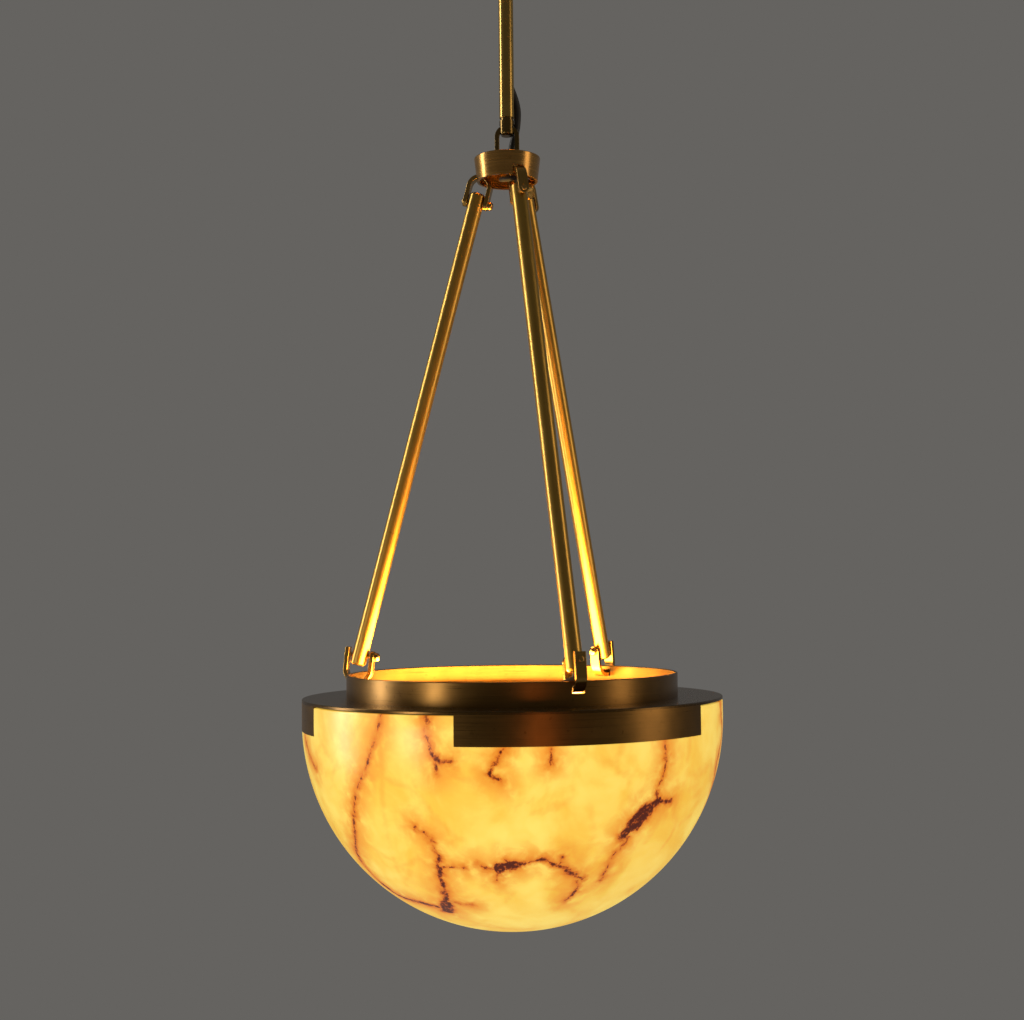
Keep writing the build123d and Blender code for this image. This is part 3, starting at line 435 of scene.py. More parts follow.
@dataclass(frozen=True)
class AlabasterWithPaintedGlow:
    """Polished alabaster with the lamps lit behind it, their light painted on as its own emission.

    The painted glow is honey yellow through the stone's thickness, paler in clouds 20 to 60 mm
    across.
    Iron runs through it in thin red-brown veins, each inside an orange halo up to 7 mm wide.

    Attributes:
        name: Material name.
        light: Strength of the light that comes through.
        gloss: Roughness of the polish.
        pale: Colour of the clear stone.
        honey: Colour of most of the stone.
        cloud: Colour of the stained clouds.
        halo: Colour beside a vein.
        rust: Colour of a vein's edge.
        vein: Colour of a vein's middle.
    """

    name: str
    light: float
    gloss: float = 0.32
    pale: str = "#ffe068"
    honey: str = "#f6c343"
    cloud: str = "#ec9a2e"
    halo: str = "#dc7a18"
    rust: str = "#a8420c"
    vein: str = "#460e02"

    def build(self) -> bpy.types.Material:
        """Make the material.

        Returns:
            The material.
        """
        material, tree, shader = blank_material(self.name)
        place = add(tree, "TexCoord").outputs["Object"]
        measured = self._measured(tree, place)
        colour = linear(self.honey)
        for over, fades in self._layers():
            share = 1.0
            for fade in fades:
                span = (measured[fade.measure], fade.near, fade.far, fade.top, 0.0)
                ease = "SMOOTHSTEP" if fade.smooth else "LINEAR"
                part = add(tree, "MapRange", span, interpolation_type=ease).outputs[0]
                share = add(tree, "Math", (part, share), operation="MULTIPLY").outputs[0]
            mix = {0: share, UNDER: colour, OVER: linear(over)}
            colour = add(tree, "Mix", mix, data_type="RGBA").outputs[MIXED]

        grit = add(tree, "TexNoise", {"Vector": place, "Scale": 520.0, "Detail": 2.0})
        span = (grit.outputs["Fac"], 0.0, 1.0, self.gloss - 0.06, self.gloss + 0.06)
        rough = add(tree, "MapRange", span)
        relief = {"Height": measured[Measure.SMALL], "Strength": 0.15, "Distance": 0.4 * MM}
        bump = add(tree, "Bump", relief)
        # painted glow, stronger towards the bottom: the bulbs stand nearer there, where more light
        # comes through
        height = add(tree, "SeparateXYZ", (place,)).outputs["Z"]
        span = (height, BOWL_CENTRE - RIM_RADIUS, BOWL_TOP, self.light * 1.35, self.light * 0.9)
        through = add(tree, "MapRange", span)
        # the stone's colour is also its emission: a painted glow that stands in for the bulbs' light
        surface = {
            "Base Color": colour,
            "Emission Color": colour,
            "Emission Strength": through.outputs[0],
            "Roughness": rough.outputs[0],
            "Normal": bump.outputs[0],
            "IOR": 1.52,
        }
        feed(tree, shader, surface)
        return material

    def _layers(self) -> tuple[tuple[str, tuple[Fade, ...]], ...]:
        """Colours that lie over the honey, from the bottom up.

        Returns:
            Colour of each layer, with the fades whose product is its share.
        """
        return (
            (self.pale, (Fade(Measure.BROAD, 0.36, 0.66),)),
            (self.honey, (Fade(Measure.SMALL, 0.3, 0.62, 0.35),)),
            (self.cloud, (Fade(Measure.AWAY, 0.0, 26.0 * MM), Fade(Measure.SMALL, 0.4, 0.8))),
            (
                self.cloud,
                (Fade(Measure.CELLS, 0.0, 0.09, 0.35), Fade(Measure.BROAD, 0.6, 0.44, smooth=False)),
            ),
            (self.halo, (Fade(Measure.EDGE, 0.0, 7.0 * MM, 0.9),)),
            (self.rust, (Fade(Measure.EDGE, -0.4 * MM, 2.4 * MM, 0.85),)),
            # the iron stays open in places, and the light comes through there
            (
                self.vein,
                (Fade(Measure.EDGE, -0.8 * MM, 0.9 * MM), Fade(Measure.PORES, 0.5, 0.68, 0.95)),
            ),
        )

    def _measured(self, tree: Tree, place: Link) -> dict[Measure, Link]:
        """Measure the stone at a position.

        Args:
            tree: Node tree that gets the nodes.
            place: Position on the bowl.

        Returns:
            One output for each quantity.
        """
        bent = self._bent(tree, place)
        away = self._distance(tree, bent)
        noises = {
            Measure.BROAD: {"Scale": 15.0, "Detail": 4.0, "Roughness": 0.55, "Distortion": 0.6},
            Measure.SMALL: {"Scale": 62.0, "Detail": 4.0, "Distortion": 0.4},
            Measure.PORES: {"Scale": 360.0, "Detail": 3.0},
            Measure.EDGE: {"Scale": 150.0, "Detail": 5.0, "Roughness": 0.7},
        }
        measured = {
            name: add(tree, "TexNoise", {"Vector": place, **inputs}).outputs["Fac"]
            for name, inputs in noises.items()
        }
        # the last noise tears a vein's edge, by 2 mm or so either way
        torn = (measured[Measure.EDGE], 11.0 * MM, -4.9 * MM)
        ragged = add(tree, "Math", torn, operation="MULTIPLY_ADD").outputs[0]
        edge = add(tree, "Math", (away, ragged), operation="ADD").outputs[0]
        cells = add(
            tree, "TexVoronoi", {"Vector": bent, "Scale": 17.0}, feature="DISTANCE_TO_EDGE"
        ).outputs["Distance"]
        return measured | {Measure.EDGE: edge, Measure.AWAY: away, Measure.CELLS: cells}

    def _bent(self, tree: Tree, place: Link) -> Link:
        """Shift a position by three noises, so that straight runs of a vein wander.

        Args:
            tree: Node tree that gets the nodes.
            place: Position on the bowl.

        Returns:
            The shifted position.
        """
        for scale, reach in ((26.0, 7.0 * MM), (80.0, 7.0 * MM), (300.0, 2.4 * MM)):
            noise = add(tree, "TexNoise", {"Vector": place, "Scale": scale, "Detail": 3.0})
            ends = (noise.outputs["Color"], (0.5, 0.5, 0.5))
            centred = add(tree, "VectorMath", ends, operation="SUBTRACT").outputs[0]
            shift = (centred, (reach, reach, reach), place)
            place = add(tree, "VectorMath", shift, operation="MULTIPLY_ADD").outputs[0]
        return place

    def _distance(self, tree: Tree, place: Link) -> Link:
        """Distance from a position to the edge of the nearest vein.

        For each straight run from a to b, the nearest point is a plus the run times t, where t is
        the position's share along the run, kept between 0 and 1.

        Args:
            tree: Node tree that gets the nodes.
            place: Position on the bowl.

        Returns:
            The distance in metres, less the vein's half width.
        """
        nearest = FAR
        for vein in VEINS:
            line = FAR
            corners = vein.on_bowl()
            for start, run in zip(corners[:-1], np.diff(corners, axis=0)):
                offset = add(tree, "VectorMath", (place, tuple(start)), operation="SUBTRACT").outputs[0]
                ends = (offset, tuple(run / float(run @ run)))
                share = add(tree, "VectorMath", ends, operation="DOT_PRODUCT").outputs["Value"]
                kept = {0: tuple(run), "Scale": add(tree, "Clamp", (share,)).outputs[0]}
                along = add(tree, "VectorMath", kept, operation="SCALE").outputs[0]
                gap = add(tree, "VectorMath", (offset, along), operation="DISTANCE").outputs["Value"]
                line = add(tree, "Math", (line, gap), operation="MINIMUM").outputs[0]
            edge = add(tree, "Math", (line, vein.half_width * MM), operation="SUBTRACT").outputs[0]
            nearest = add(tree, "Math", (nearest, edge), operation="MINIMUM").outputs[0]
        return nearest


# ---- Surfaces ----


def mesh_object(
    name: str, points: Points, faces: list[Points], material: bpy.types.Material, smooth: bool = True
) -> bpy.types.Object:
    """Make a mesh object at the origin.

    Args:
        name: Piece name.
        points: One row of X, Y, Z for each vertex.
        faces: Arrays of faces, with one row of vertex numbers for each face.
        material: Finish of its first slot.
        smooth: Whether its faces are shaded smooth.

    Returns:
        The object, linked into the scene.
    """
    mesh = bpy.data.meshes.new(name)
    mesh.from_pydata(points.tolist(), [], [face for group in faces for face in group.tolist()])
    mesh.polygons.foreach_set("use_smooth", np.full(len(mesh.polygons), smooth))
    mesh.materials.append(material)
    mesh.update()
    made = bpy.data.objects.new(name, mesh)
    bpy.context.scene.collection.objects.link(made)
    return made


def grid_faces(rows: int, columns: int) -> Points:
    """Quads of a grid of points that lie row by row, each row closed into a ring.

    They face the way of the columns' direction crossed with the rows'.

    Args:
        rows: Number of rows.
        columns: Points in each row.

    Returns:
        One row of four vertex numbers for each quad.
    """
    row, column = np.meshgrid(np.arange(rows - 1), np.arange(columns), indexing="ij")
    after = (column + 1) % columns
    start = row * columns
    end = start + columns
    corners = (start + column, start + after, end + after, end + column)
    return np.stack([corner.ravel() for corner in corners], axis=1)


def spline_points(route: tuple[tuple[float, float, float], ...], resolution: int) -> Points:
    """Points along the smooth curve that a route controls.

    The curve is a NURBS spline of order 3 that starts and ends at the route's own ends.

    Args:
        route: Control points, metres.
        resolution: Points for each control point.

    Returns:
        One row of X, Y, Z for each point.
    """
    curve = bpy.data.curves.new("route", "CURVE")
    curve.dimensions = "3D"
    curve.resolution_u = resolution
    spline = curve.splines.new("NURBS")
    spline.points.add(len(route) - 1)
    for point, place in zip(spline.points, route):
        point.co = (*place, 1.0)
    spline.use_endpoint_u = True
    spline.order_u = 3
    holder = bpy.data.objects.new("route", curve)
    bpy.context.scene.collection.objects.link(holder)
    evaluated = holder.evaluated_get(bpy.context.evaluated_depsgraph_get())
    line = bpy.data.meshes.new_from_object(evaluated)
    places = np.empty(3 * len(line.vertices))
    line.vertices.foreach_get("co", places)
    bpy.data.objects.remove(holder)
    return places.reshape(-1, 3)


# ---- Camera, studio and light ----


@dataclass
class Viewpoint:
    """Camera where the photographer stood, a little above the bowl's rim.

    Attributes:
        place: Position, metres.
        up_tilt: Degrees that it looks up.
        turn: Degrees that it is turned to the right.
        roll: Degrees that its right side is raised.
        focal_pixels: Focal length as a number of the picture's pixels.
        picture_width: Width of the picture in pixels.
    """

    place: tuple[float, float, float] = (0.0, -1.4458, -0.6493)
    up_tilt: float = 3.19
    turn: float = 0.06
    roll: float = -0.54
    focal_pixels: float = 1498.37
    picture_width: int = 1024

    def build(self) -> bpy.types.Object:
        """Make the camera and look through it.

        Returns:
            The camera.
        """
        data = bpy.data.cameras.new("viewpoint")
        data.sensor_width = 36.0
        data.lens = self.focal_pixels * data.sensor_width / self.picture_width
        camera = bpy.data.objects.new("viewpoint", data)
        aim = (
            Matrix.Rotation(radians(-self.turn), 4, "Z")
            @ Matrix.Rotation(radians(90.0 + self.up_tilt), 4, "X")
            @ Matrix.Rotation(radians(self.roll), 4, "Z")
        )
        camera.matrix_world = Matrix.Translation(self.place) @ aim
        bpy.context.scene.collection.objects.link(camera)
        bpy.context.scene.camera = camera
        return camera


@dataclass(frozen=True)
class Softbox:
    """Large soft light that faces the pendant.

    Attributes:
        name: Name of the light.
        azimuth: Direction that it stands in, degrees.
        distance: From the downrod's axis, metres.
        height: Height of its middle, metres.
        size: Width and height, metres.
        power: Watts.
        colour: Colour of its light.
        mirrored: Whether polished metal shows it.
        on_matt: Whether it lights matt surfaces.
        aim: Height that it faces on the downrod's axis, metres.
    """

    name: str
    azimuth: float
    distance: float
    height: float
    size: tuple[float, float]
    power: float
    colour: str = "#ffffff"
    mirrored: bool = True
    on_matt: bool = True
    aim: float = -0.55

    def build(self) -> bpy.types.Object:
        """Make the light.

        Returns:
            The light.
        """
        data = bpy.data.lights.new(self.name, "AREA")
        data.shape = "RECTANGLE"
        data.size, data.size_y = self.size
        data.energy = self.power
        data.color = linear(self.colour)[:3]
        light = bpy.data.objects.new(self.name, data)
        angle = radians(self.azimuth)
        place = Vector((sin(angle) * self.distance, -cos(angle) * self.distance, self.height))
        target = Vector((0.0, 0.0, self.aim))
        light.location = place
        light.rotation_euler = (target - place).to_track_quat("-Z", "Y").to_euler()
        light.visible_camera = False
        light.visible_glossy = self.mirrored
        light.visible_diffuse = self.on_matt
        bpy.context.scene.collection.objects.link(light)
        return light


@dataclass
class Studio:
    """Plain pale floor under a grey room, lit by softboxes.

    Attributes:
        backdrop: Grey of the wall behind the pendant.
        shade: Dark brown of the room behind the camera.
        floor_tone: Pale grey of the floor.
        floor_second: Grey that it drifts to.
        floor_height: Height of the floor, metres.
        floor_radius: Metres.
        floor_sides: Sides of its round edge.
        floor_fade: Distances between which it fades into the backdrop, metres.
        ambient: Strength of the even light from all sides.
        boxes: Softboxes.
    """

    backdrop: str = "#656360"
    shade: str = "#504c44"
    floor_tone: str = "#b9b6b0"
    floor_second: str = "#c2bfb9"
    floor_height: float = -2.3
    floor_radius: float = 9.0
    floor_sides: int = 96
    floor_fade: tuple[float, float] = (1.2, 4.2)
    ambient: float = 0.42
    boxes: tuple[Softbox, ...] = (
        Softbox("left softbox", -96.0, 1.5, -0.3, (0.22, 1.9), 17.0, "#fff6ea", on_matt=False),
        Softbox("right softbox", 74.0, 1.8, -0.3, (0.5, 1.6), 6.0, "#ffe2bc"),
        Softbox("low left softbox", -51.0, 1.6, -0.95, (0.22, 0.5), 4.4, "#fff0dc"),
        Softbox("low front softbox", 14.0, 1.6, -1.1, (0.25, 0.4), 1.0, "#ff9a52"),
        Softbox("front softbox", -14.0, 2.6, 0.7, (1.6, 0.9), 18.0, mirrored=False),
        Softbox("back softbox", 160.0, 2.2, 0.5, (1.2, 0.9), 10.0, mirrored=False),
    )

    def build(self) -> None:
        """Make the room, its floor and its lights."""
        self._room()
        self._floor()
        for box in self.boxes:
            box.build()
        bpy.context.scene.view_settings.view_transform = "Standard"

    def _seen(self, tree: Tree) -> Link:
        """Share that is 1 where the camera sees a thing, straight, mirrored or through glass.

        Args:
            tree: Node tree that gets the nodes.

        Returns:
            The share.
        """
        ray = add(tree, "LightPath").outputs
        seen = ray["Is Camera Ray"]
        for kind in ("Is Glossy Ray", "Is Transmission Ray"):
            seen = add(tree, "Math", (seen, ray[kind]), operation="MAXIMUM").outputs[0]
        return seen

    def _room(self) -> None:
        """Make the world, which differs by what looks at it.

        The camera sees the backdrop's grey on every side, polished metal sees it behind the pendant
        and the dark room in front, and matt surfaces get even light.
        """
        world = bpy.data.worlds.new("room")
        bpy.context.scene.world = world
        world.use_nodes = True
        tree = world.node_tree
        tree.nodes.clear()
        even = (self.ambient, self.ambient, self.ambient, 1.0)
        wall = linear(self.backdrop)
        facing = add(tree, "SeparateXYZ", (add(tree, "TexCoord").outputs["Generated"],))
        span = (facing.outputs["Y"], -0.5, 0.5, 0.0, 1.0)
        behind = add(tree, "MapRange", span, interpolation_type="SMOOTHSTEP").outputs[0]
        glossy = add(tree, "LightPath").outputs["Is Glossy Ray"]
        tone = wall
        for share, under in ((behind, linear(self.shade)), (glossy, wall), (self._seen(tree), even)):
            mix = {0: share, UNDER: under, OVER: tone}
            tone = add(tree, "Mix", mix, data_type="RGBA").outputs[MIXED]
        light = add(tree, "Background", {"Color": tone, "Strength": 1.0})
        add(tree, "OutputWorld", {"Surface": light.outputs[0]})

    def _floor(self) -> None:
        """Make a round floor that fades into the wall's grey far away."""
        turn = np.linspace(0.0, 2 * pi, self.floor_sides, endpoint=False)
        points = np.stack(
            [
                self.floor_radius * np.cos(turn),
                self.floor_radius * np.sin(turn),
                np.full(self.floor_sides, self.floor_height),
            ],
            axis=1,
        )
        material = bpy.data.materials.new("matt painted floor")
        material.use_nodes = True
        tree = material.node_tree
        tree.nodes.clear()
        place = add(tree, "TexCoord").outputs["Object"]
        flat = add(tree, "VectorMath", (place, (1.0, 1.0, 0.0)), operation="MULTIPLY").outputs[0]
        reach = add(tree, "VectorMath", (flat,), operation="LENGTH").outputs["Value"]
        span = (reach, *self.floor_fade, 0.0, 1.0)
        fade = add(tree, "MapRange", span, interpolation_type="SMOOTHSTEP").outputs[0]
        share = add(tree, "Math", (fade, self._seen(tree)), operation="MULTIPLY").outputs[0]
        drift = add(tree, "TexNoise", {"Vector": place, "Scale": 8.0, "Detail": 6.0}).outputs["Fac"]
        mix = {0: drift, UNDER: linear(self.floor_tone), OVER: linear(self.floor_second)}
        tone = add(tree, "Mix", mix, data_type="RGBA").outputs[MIXED]
        paint = add(tree, "BsdfDiffuse", {"Color": tone}).outputs[0]
        wall = add(tree, "Emission", {"Color": linear(self.backdrop), "Strength": 1.0}).outputs[0]
        surface = add(tree, "MixShader", (share, paint, wall))
        add(tree, "OutputMaterial", {"Surface": surface.outputs[0]})
        face = np.arange(self.floor_sides)[None, :]
        mesh_object("floor", points, [face], material, smooth=False)


# ---- Sub-assemblies ----


@dataclass
class SupplyFlex:
    """Round black flex from the downrod's slot, behind the bow and into the hub.

    Attributes:
        radius: Half its diameter, metres.
        length: Real length of the free stretch, metres; not used.
        sides: Sides of its round section.
        resolution: Rings for each control point.
        route: Control points from the downrod to the hub, metres.
    """

    radius: float = 3.6 * MM
    length: float = 75.7 * MM
    sides: int = 32
    resolution: int = 16
    route: tuple[tuple[float, float, float], ...] = (
        (0.00581, 0.003899, -0.1575),
        (0.010458, 0.007018, -0.1691),
        (0.0104, 0.0082, -0.1855),
        (0.0082, 0.0099, -0.198),
        (0.0052, 0.0112, -0.2085),
        (0.004, 0.011, -0.217),
        (0.004, 0.011, -0.2312),
    )

    def build(self) -> bpy.types.Object:
        """Each ring lies in the plane square to the curve: its first axis is the curve's direction
        crossed with X, and its second the direction crossed with the first.

        Returns:
            The flex.
        """
        line = spline_points(self.route, self.resolution)
        heading = np.gradient(line, axis=0)
        heading /= np.linalg.norm(heading, axis=1, keepdims=True)
        first = np.cross(heading, (1.0, 0.0, 0.0))
        first /= np.linalg.norm(first, axis=1, keepdims=True)
        second = np.cross(heading, first)
        turn = np.linspace(0.0, 2 * pi, self.sides, endpoint=False)
        rings = line[:, None, :] + self.radius * (
            np.cos(turn)[None, :, None] * first[:, None, :]
            + np.sin(turn)[None, :, None] * second[:, None, :]
        )
        points = rings.reshape(-1, 3)
        sheath = PlainFinish(
            "black PVC flex sheath, extruded", "#080706", "#100e0c", 0.5, grain=1400.0
        ).build()
        ends = np.arange(self.sides)[None, :]
        faces = [
            grid_faces(len(line), self.sides),
            ends[:, ::-1],
            ends + (len(line) - 1) * self.sides,
        ]
        flex = mesh_object("supply_flex_sheath", points, faces, sheath)
        flex.data.set_sharp_from_angle(angle=radians(60.0))
        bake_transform(flex)
        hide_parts("supply_flex")
        log.info("flex of %d rings", len(line))
        return flex


@dataclass
class CeilingEnd:
    """Bracket, coupling, terminal block, canopy, downrod and its eye."""

    def build(self) -> None:
        """Dress the pieces that stay still."""
        canopy = BrushedBrass(
            "brushed brass, spun sheet", "#b8935c", "#6e5530", brushing=Brushing.AROUND
        )
        tube = BrushedBrass(
            "polished brass, drawn tube", "#cbaa60", "#94783e",
            aged=0.4, roughness=0.26, brushing=Brushing.ALONG, relief=0.02,
        )
        eye = BrushedBrass(
            "aged brass, turned", "#93794a", "#584826",
            aged=0.6, roughness=0.24, relief=0.05,
        )
        steel = PlainFinish("zinc-plated steel, pressed", roughness=0.34, **ZINC)
        nylon = PlainFinish("white nylon, moulded", "#e6e3da", "#dcd8cd", 0.45)
        cores = PlainFinish("PVC core insulation, extruded", "#5b4a3a", "#4c5d46", 0.4)
        black = PlainFinish("black PVC sheath, extruded", "#0d0c0b", "#171513", 0.42)
        dress(canopy, "canopy", "canopy_collar")
        dress(tube, "downrod")
        dress(eye, "rod_end_eye")
        dress(steel, "ceiling_bracket", "rod_coupling", "canopy_set_screw")
        dress(nylon, "terminal_block")
        dress(cores, "canopy_cores")
        dress(black, "supply_lead")


@dataclass
class HangingParts:
    """Bow, hub, upper straps, the three rods and their lower straps.

    Attributes:
        rods: Number of rods.
        lean: Degrees that each rod is off the vertical.
    """

    rods: int = LINKS
    lean: float = 15.0

    def build(self) -> None:
        """Dress the bow, the hub and the rods."""
        bow = BrushedBrass(
            "aged brass, bent bar", "#93794a", "#584826",
            aged=0.6, roughness=0.22, relief=0.05,
        )
        hub = BrushedBrass(
            "brushed brass, turned cup", "#c79c5c", "#8f6834",
            aged=0.4, roughness=0.25, brushing=Brushing.AROUND, relief=0.12,
        )
        strap = BrushedBrass(
            "aged brass, bent strap", "#c09c58", "#846834",
            roughness=0.22, relief=0.05,
        )
        pin = BrushedBrass(
            "polished brass pin, turned", "#c9a260", "#94713c",
            aged=0.35, roughness=0.18, relief=0.03,
        )
        rubber = PlainFinish("black rubber, moulded", "#060505", "#0c0a09", 0.7)
        black = PlainFinish("black PVC lead, extruded", "#060505", "#0c0a09", 0.85)
        numbers = range(1, self.rods + 1)
        dress(bow, "hanger_bow", "bow_pin")
        dress(hub, "hub_cup")
        dress(rubber, "hub_grommet")
        dress(black, "hub_lead", "rod_wires")
        dress(pin, "upper_pins", *[f"lower_pin_{number}" for number in numbers])
        dress(strap, *[f"{end}_strap_{number}" for number in numbers for end in ("upper", "lower")])
        for number in numbers:
            rod = BrushedBrass(
                f"polished brass tube {number}, drawn", "#cba554", "#967536",
                aged=0.4, roughness=0.31, brushing=Brushing.ALONG, relief=0.02,
                lean=self.lean, azimuth=FIRST_LINK + LINK_TURN * (number - 1),
            )
            dress(rod, *[f"rod_{piece}_{number}" for piece in ("tube", "top_end", "bottom_end")])


@dataclass
class BowlRim:
    """Collar, flange and the three skirt segments, with the gasket and the clips."""

    def build(self) -> None:
        """Dress the rim."""
        around = BrushedBrass(
            "dark bronzed brass, brushed around", "#97733f", "#5d4524",
            aged=0.6, brushing=Brushing.AROUND, relief=0.12,
        )
        flat = BrushedBrass(
            "dark bronzed brass, flat sheet", "#7a5e36", "#4b381d",
            aged=0.6, roughness=0.26, relief=0.02,
        )
        clip = BrushedBrass("brass strip, bent", "#b08a4a", "#7a5a2b", aged=0.4)
        steel = PlainFinish("zinc-plated steel fastener", roughness=0.34, **ZINC)
        gasket = PlainFinish("black EPDM gasket, cut sheet", "#161514", "#22201e", 0.75)
        dress(around, "collar", *[f"skirt_{number}" for number in range(1, LINKS + 1)])
        dress(flat, "flange")
        dress(clip, "bowl_clips")
        dress(steel, "flange_studs", "stud_nuts")
        dress(gasket, "rim_gasket")


@dataclass
class AlabasterBowl:
    """Turned alabaster bowl: a hemisphere under a short straight wall, with three rebates.

    Attributes:
        outer: Outer radius, metres.
        inner: Inner radius, metres.
        rebate_depth: Depth of the rebates that take the skirt segments, metres.
        rebate_bottom: Their lower edge below the flange, metres.
        rebate_arc: Their width, degrees.
        groove_depth: Depth of the clips' groove inside, metres.
        groove_top: Top of that groove below the flange, metres.
        groove_bottom: Bottom of that groove below the flange, metres.
        chamfer: Chamfer of the inner top edge, and the first ring below the groove, metres.
        rounding: Setbacks of the rings that round the outer top edge, metres.
        ledge: Angle of the slope under a rebate, radians.
        pole_gap: Angle from the pole to the last ring, radians.
        pair: Half the distance of the two columns at a rebate's end, degrees.
        columns: Even columns around the bowl; each rebate's ends add four.
        rings: Rings down the outside above and below the rebates' lower edge, and up the inside.
    """

    outer: float = RIM_RADIUS
    inner: float = BOWL_INNER_RADIUS
    rebate_depth: float = 2.7 * MM
    rebate_bottom: float = 26.8 * MM
    rebate_arc: float = 71.0
    groove_depth: float = 5.2 * MM
    groove_top: float = 9.7 * MM
    groove_bottom: float = 13.8 * MM
    chamfer: float = 0.6 * MM
    rounding: tuple[float, ...] = (1.2 * MM, 0.4 * MM, 0.0)
    ledge: float = 0.0004
    pole_gap: float = 0.004
    pair: float = 0.02
    columns: int = 312
    rings: tuple[int, int, int] = (4, 84, 70)

    def _azimuths(self) -> Points:
        """Azimuths of the columns, with a close pair at each rebate's ends.

        Returns:
            Angles in radians, in order.
        """
        ends = [
            FIRST_LINK + LINK_TURN * link + side * self.rebate_arc / 2 + step
            for link in range(LINKS)
            for side in (-1, 1)
            for step in (-self.pair, self.pair)
        ]
        even = np.linspace(0, 360, self.columns, endpoint=False)
        return np.sort(np.radians(np.concatenate([even, np.array(ends) % 360])))

    def _outside(self) -> tuple[Points, Points]:
        """Profile of the outside, from the rim to just above the bottom.

        Returns:
            Radius and height of each ring, metres.
        """
        above, below, _ = self.rings
        turn = np.arcsin((self.rebate_bottom - GASKET - STRAIGHT_WALL) / self.outer)
        low = np.concatenate(
            [
                np.linspace(0, turn, above, endpoint=False),
                np.linspace(turn + self.ledge, pi / 2 - self.pole_gap, below),
            ]
        )
        setbacks = np.array(self.rounding)
        radius = np.concatenate([self.outer - setbacks, self.outer * np.cos(low)])
        height = np.concatenate([BOWL_TOP - setbacks[::-1], BOWL_CENTRE - self.outer * np.sin(low)])
        return radius, height

    def _inside(self) -> tuple[Points, Points]:
        """Profile of the inside, from just above its bottom over the groove to the rim.

        Returns:
            Radius and height of each ring, metres.
        """
        low = np.linspace(pi / 2 - self.pole_gap, 0.0, self.rings[2])
        upper = np.array(
            [
                (self.inner, self.groove_bottom + self.chamfer),
                (self.inner, self.groove_bottom),
                (self.inner + self.groove_depth, self.groove_bottom),
                (self.inner + self.groove_depth, self.groove_top),
                (self.inner, self.groove_top),
                (self.inner, GASKET + self.chamfer),
                (self.inner + self.chamfer, GASKET),
            ]
        )
        radius = np.concatenate([self.inner * np.cos(low), upper[:, 0]])
        height = np.concatenate(
            [BOWL_CENTRE - self.inner * np.sin(low), FLANGE_UNDERSIDE - upper[:, 1]]
        )
        return radius, height

    def build(self) -> bpy.types.Object:
        """Make the bowl.

        The surface is a function of azimuth and of distance down the profile: a radius and a
        height from the profile, with the radius cut back inside the rebates.

        Returns:
            The bowl.
        """
        azimuth = self._azimuths()
        outside_r, outside_z = self._outside()
        inside_r, inside_z = self._inside()
        offset = (np.degrees(azimuth) - FIRST_LINK + LINK_TURN / 2) % LINK_TURN - LINK_TURN / 2
        cut = np.abs(offset) < self.rebate_arc / 2
        reach = np.where(
            cut[None, :] & (outside_z > FLANGE_UNDERSIDE - self.rebate_bottom)[:, None],
            np.minimum(outside_r, self.outer - self.rebate_depth)[:, None],
            outside_r[:, None],
        )
        count = len(azimuth)
        radius = np.concatenate([reach, np.repeat(inside_r[:, None], count, axis=1)])
        height = np.concatenate([outside_z, inside_z])
        points = np.stack(
            [
                radius * np.sin(azimuth),
                -radius * np.cos(azimuth),
                np.repeat(height[:, None], count, axis=1),
            ],
            axis=2,
        ).reshape(-1, 3)
        points = np.concatenate(
            [points, [(0.0, 0.0, BOWL_CENTRE - self.outer), (0.0, 0.0, BOWL_CENTRE - self.inner)]]
        )
        skin = AlabasterWithPaintedGlow("alabaster, turned and polished, painted glow from inside", 0.47).build()
        faces = self._faces(len(outside_z), len(height), count)
        bowl = mesh_object("alabaster_stone", points, faces, skin)
        # the inner face is a copy of the stone with a brighter painted glow, for the bulbs' light on it
        bowl.data.materials.append(
            AlabasterWithPaintedGlow("alabaster, inner face, brighter painted glow", 2.6, 0.5).build()
        )
        self._mark_inside(bowl)
        bowl.data.set_sharp_from_angle(angle=radians(35.0))
        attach(bowl, "bowl")
        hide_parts("alabaster_bowl")
        log.info("bowl of %d faces", len(bowl.data.polygons))
        return bowl

    def _faces(self, outside: int, rows: int, count: int) -> list[Points]:
        """Faces of the whole skin, which all point out of the stone.

        Args:
            outside: Rows of points that belong to the outside.
            rows: All rows of points, which two pole points follow.
            count: Points in each row.

        Returns:
            Quads of the two faces, quads of the rim, and a fan of triangles at each pole.
        """
        sides = grid_faces(rows, count)[:, ::-1]
        # the outside ends and the inside starts at the pole, so nothing spans those two rows
        sides = sides[sides.min(axis=1) // count != outside - 1]
        here = np.arange(count)
        after = (here + 1) % count
        last = (rows - 1) * count
        rim = np.stack([here, after, last + after, last + here], axis=1)
        low = (outside - 1) * count
        bottom = np.stack([low + here, np.full(count, rows * count), low + after], axis=1)
        well = outside * count
        hollow = np.stack([well + here, well + after, np.full(count, rows * count + 1)], axis=1)
        return [sides, rim, bottom, hollow]

    def _mark_inside(self, bowl: bpy.types.Object) -> None:
        """Give the second material to the faces that are clearly nearer the inside.

        Args:
            bowl: The bowl.
        """
        # 2 mm off the stone's middle, so that the rim stays out
        faces = bowl.data.polygons
        spots = np.empty(3 * len(faces))
        faces.foreach_get("center", spots)
        spots = spots.reshape(-1, 3) - (0.0, 0.0, BOWL_CENTRE)
        spots[:, 2] = np.minimum(spots[:, 2], 0.0)
        reach = np.linalg.norm(spots, axis=1)
        inside = reach < (self.inner + self.outer) / 2 - 2.0 * MM
        faces.foreach_set("material_index", inside.astype(np.int32))


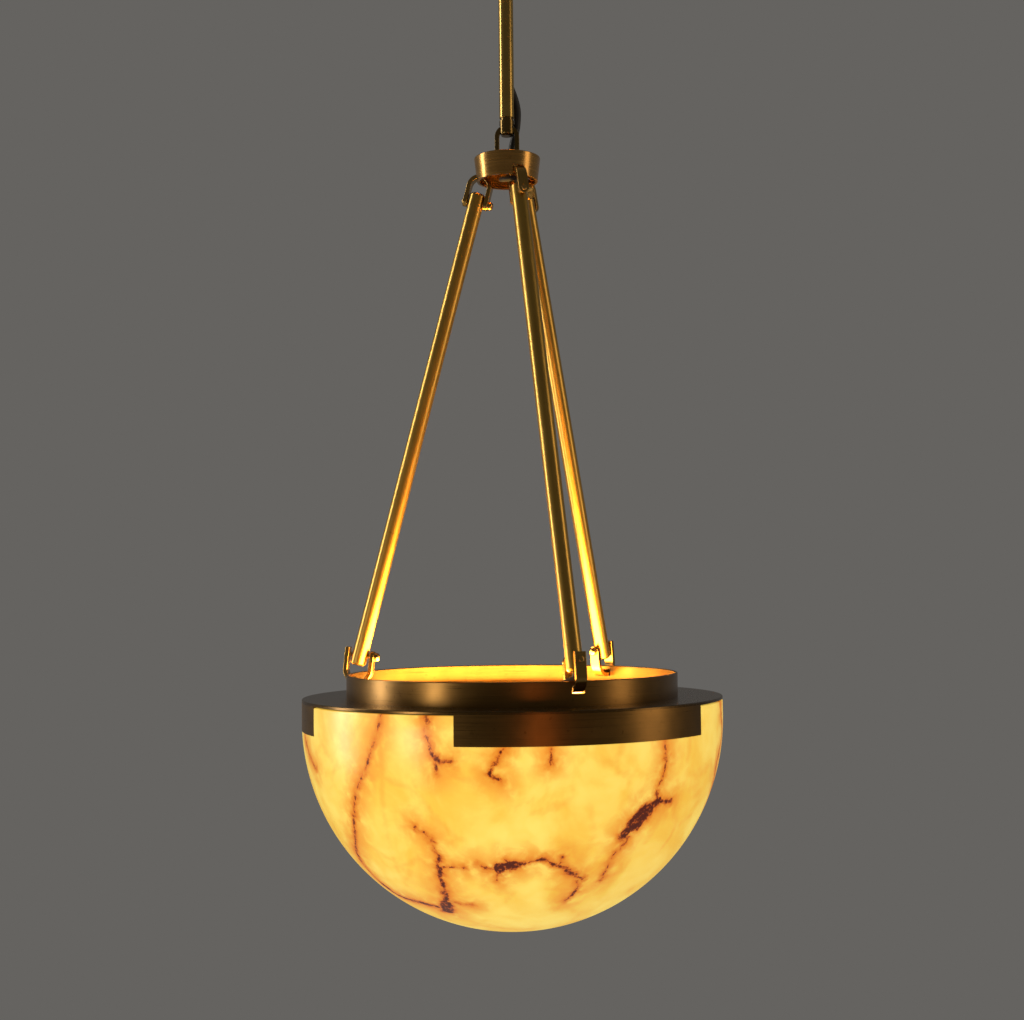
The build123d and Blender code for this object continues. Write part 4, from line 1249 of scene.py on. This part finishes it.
@dataclass
class Lamps:
    """Lamp spider, junction box, three holders with their bulbs, and the leads between them.

    Attributes:
        count: Number of lamps.
        glow_power: Watts of warm light that leaves the bowl upward.
        glow_spread: Width of that light's beam, degrees.
        glow_colour: Its colour.
        glow_size: Its diameter, metres.
        glow_rise: Its height over the flange's underside, metres.
    """

    count: int = 3
    glow_power: float = 12.0
    glow_spread: float = 172.0
    glow_colour: str = "#ffc468"
    glow_size: float = 0.27
    glow_rise: float = 6.0 * MM

    def build(self) -> None:
        """Dress the lamps and light them."""
        steel = PlainFinish("zinc-plated steel sheet, pressed", roughness=0.36, **ZINC)
        enamel = PlainFinish("white baked enamel", "#e3dfd5", "#d8d3c7", 0.3, coat=0.3)
        porcelain = PlainFinish("glazed porcelain", "#ece8df", "#e2ddd1", 0.16, coat=0.6)
        cap = PlainFinish("nickel-plated brass, rolled", "#c9c5ba", "#b3afa3", 0.25, metallic=1.0)
        glass = PlainFinish("opal glass, lit", "#ffe9bf", "#ffe0a8", 0.3, light=9.0)
        lead = PlainFinish("silicone lead, extruded", "#26211c", "#332c25", 0.5)
        numbers = range(1, self.count + 1)
        dress(steel, "lamp_spider", "holder_nuts")
        dress(enamel, "junction_box")
        dress(lead, "holder_leads", "bowl_lead")
        dress(porcelain, *[f"lampholder_{number}" for number in numbers])
        dress(cap, *[f"bulb_cap_{number}" for number in numbers])
        dress(glass, *[f"bulb_globe_{number}" for number in numbers])
        self._glow()

    def _glow(self) -> None:
        """Make the warm light that the lit bowl throws up at the rods and the hub."""
        data = bpy.data.lights.new("bowl glow", "AREA")
        data.shape = "DISK"
        data.size = self.glow_size
        # the collar's wall lies at the edge of the beam, where the light is weak
        data.spread = radians(self.glow_spread)
        data.energy = self.glow_power
        data.color = linear(self.glow_colour)[:3]
        glow = bpy.data.objects.new("bowl glow", data)
        glow.location = (0.0, 0.0, FLANGE_UNDERSIDE + self.glow_rise)
        glow.rotation_euler = (pi, 0.0, 0.0)
        glow.visible_camera = False
        bpy.context.scene.collection.objects.link(glow)
        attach(glow, "bowl")


def main() -> None:
    """Build the camera, the flex, the studio and every sub-assembly in order."""
    Viewpoint().build()
    SupplyFlex().build()
    Studio().build()
    CeilingEnd().build()
    HangingParts().build()
    BowlRim().build()
    AlabasterBowl().build()
    Lamps().build()


if __name__ == "__main__":
    main()
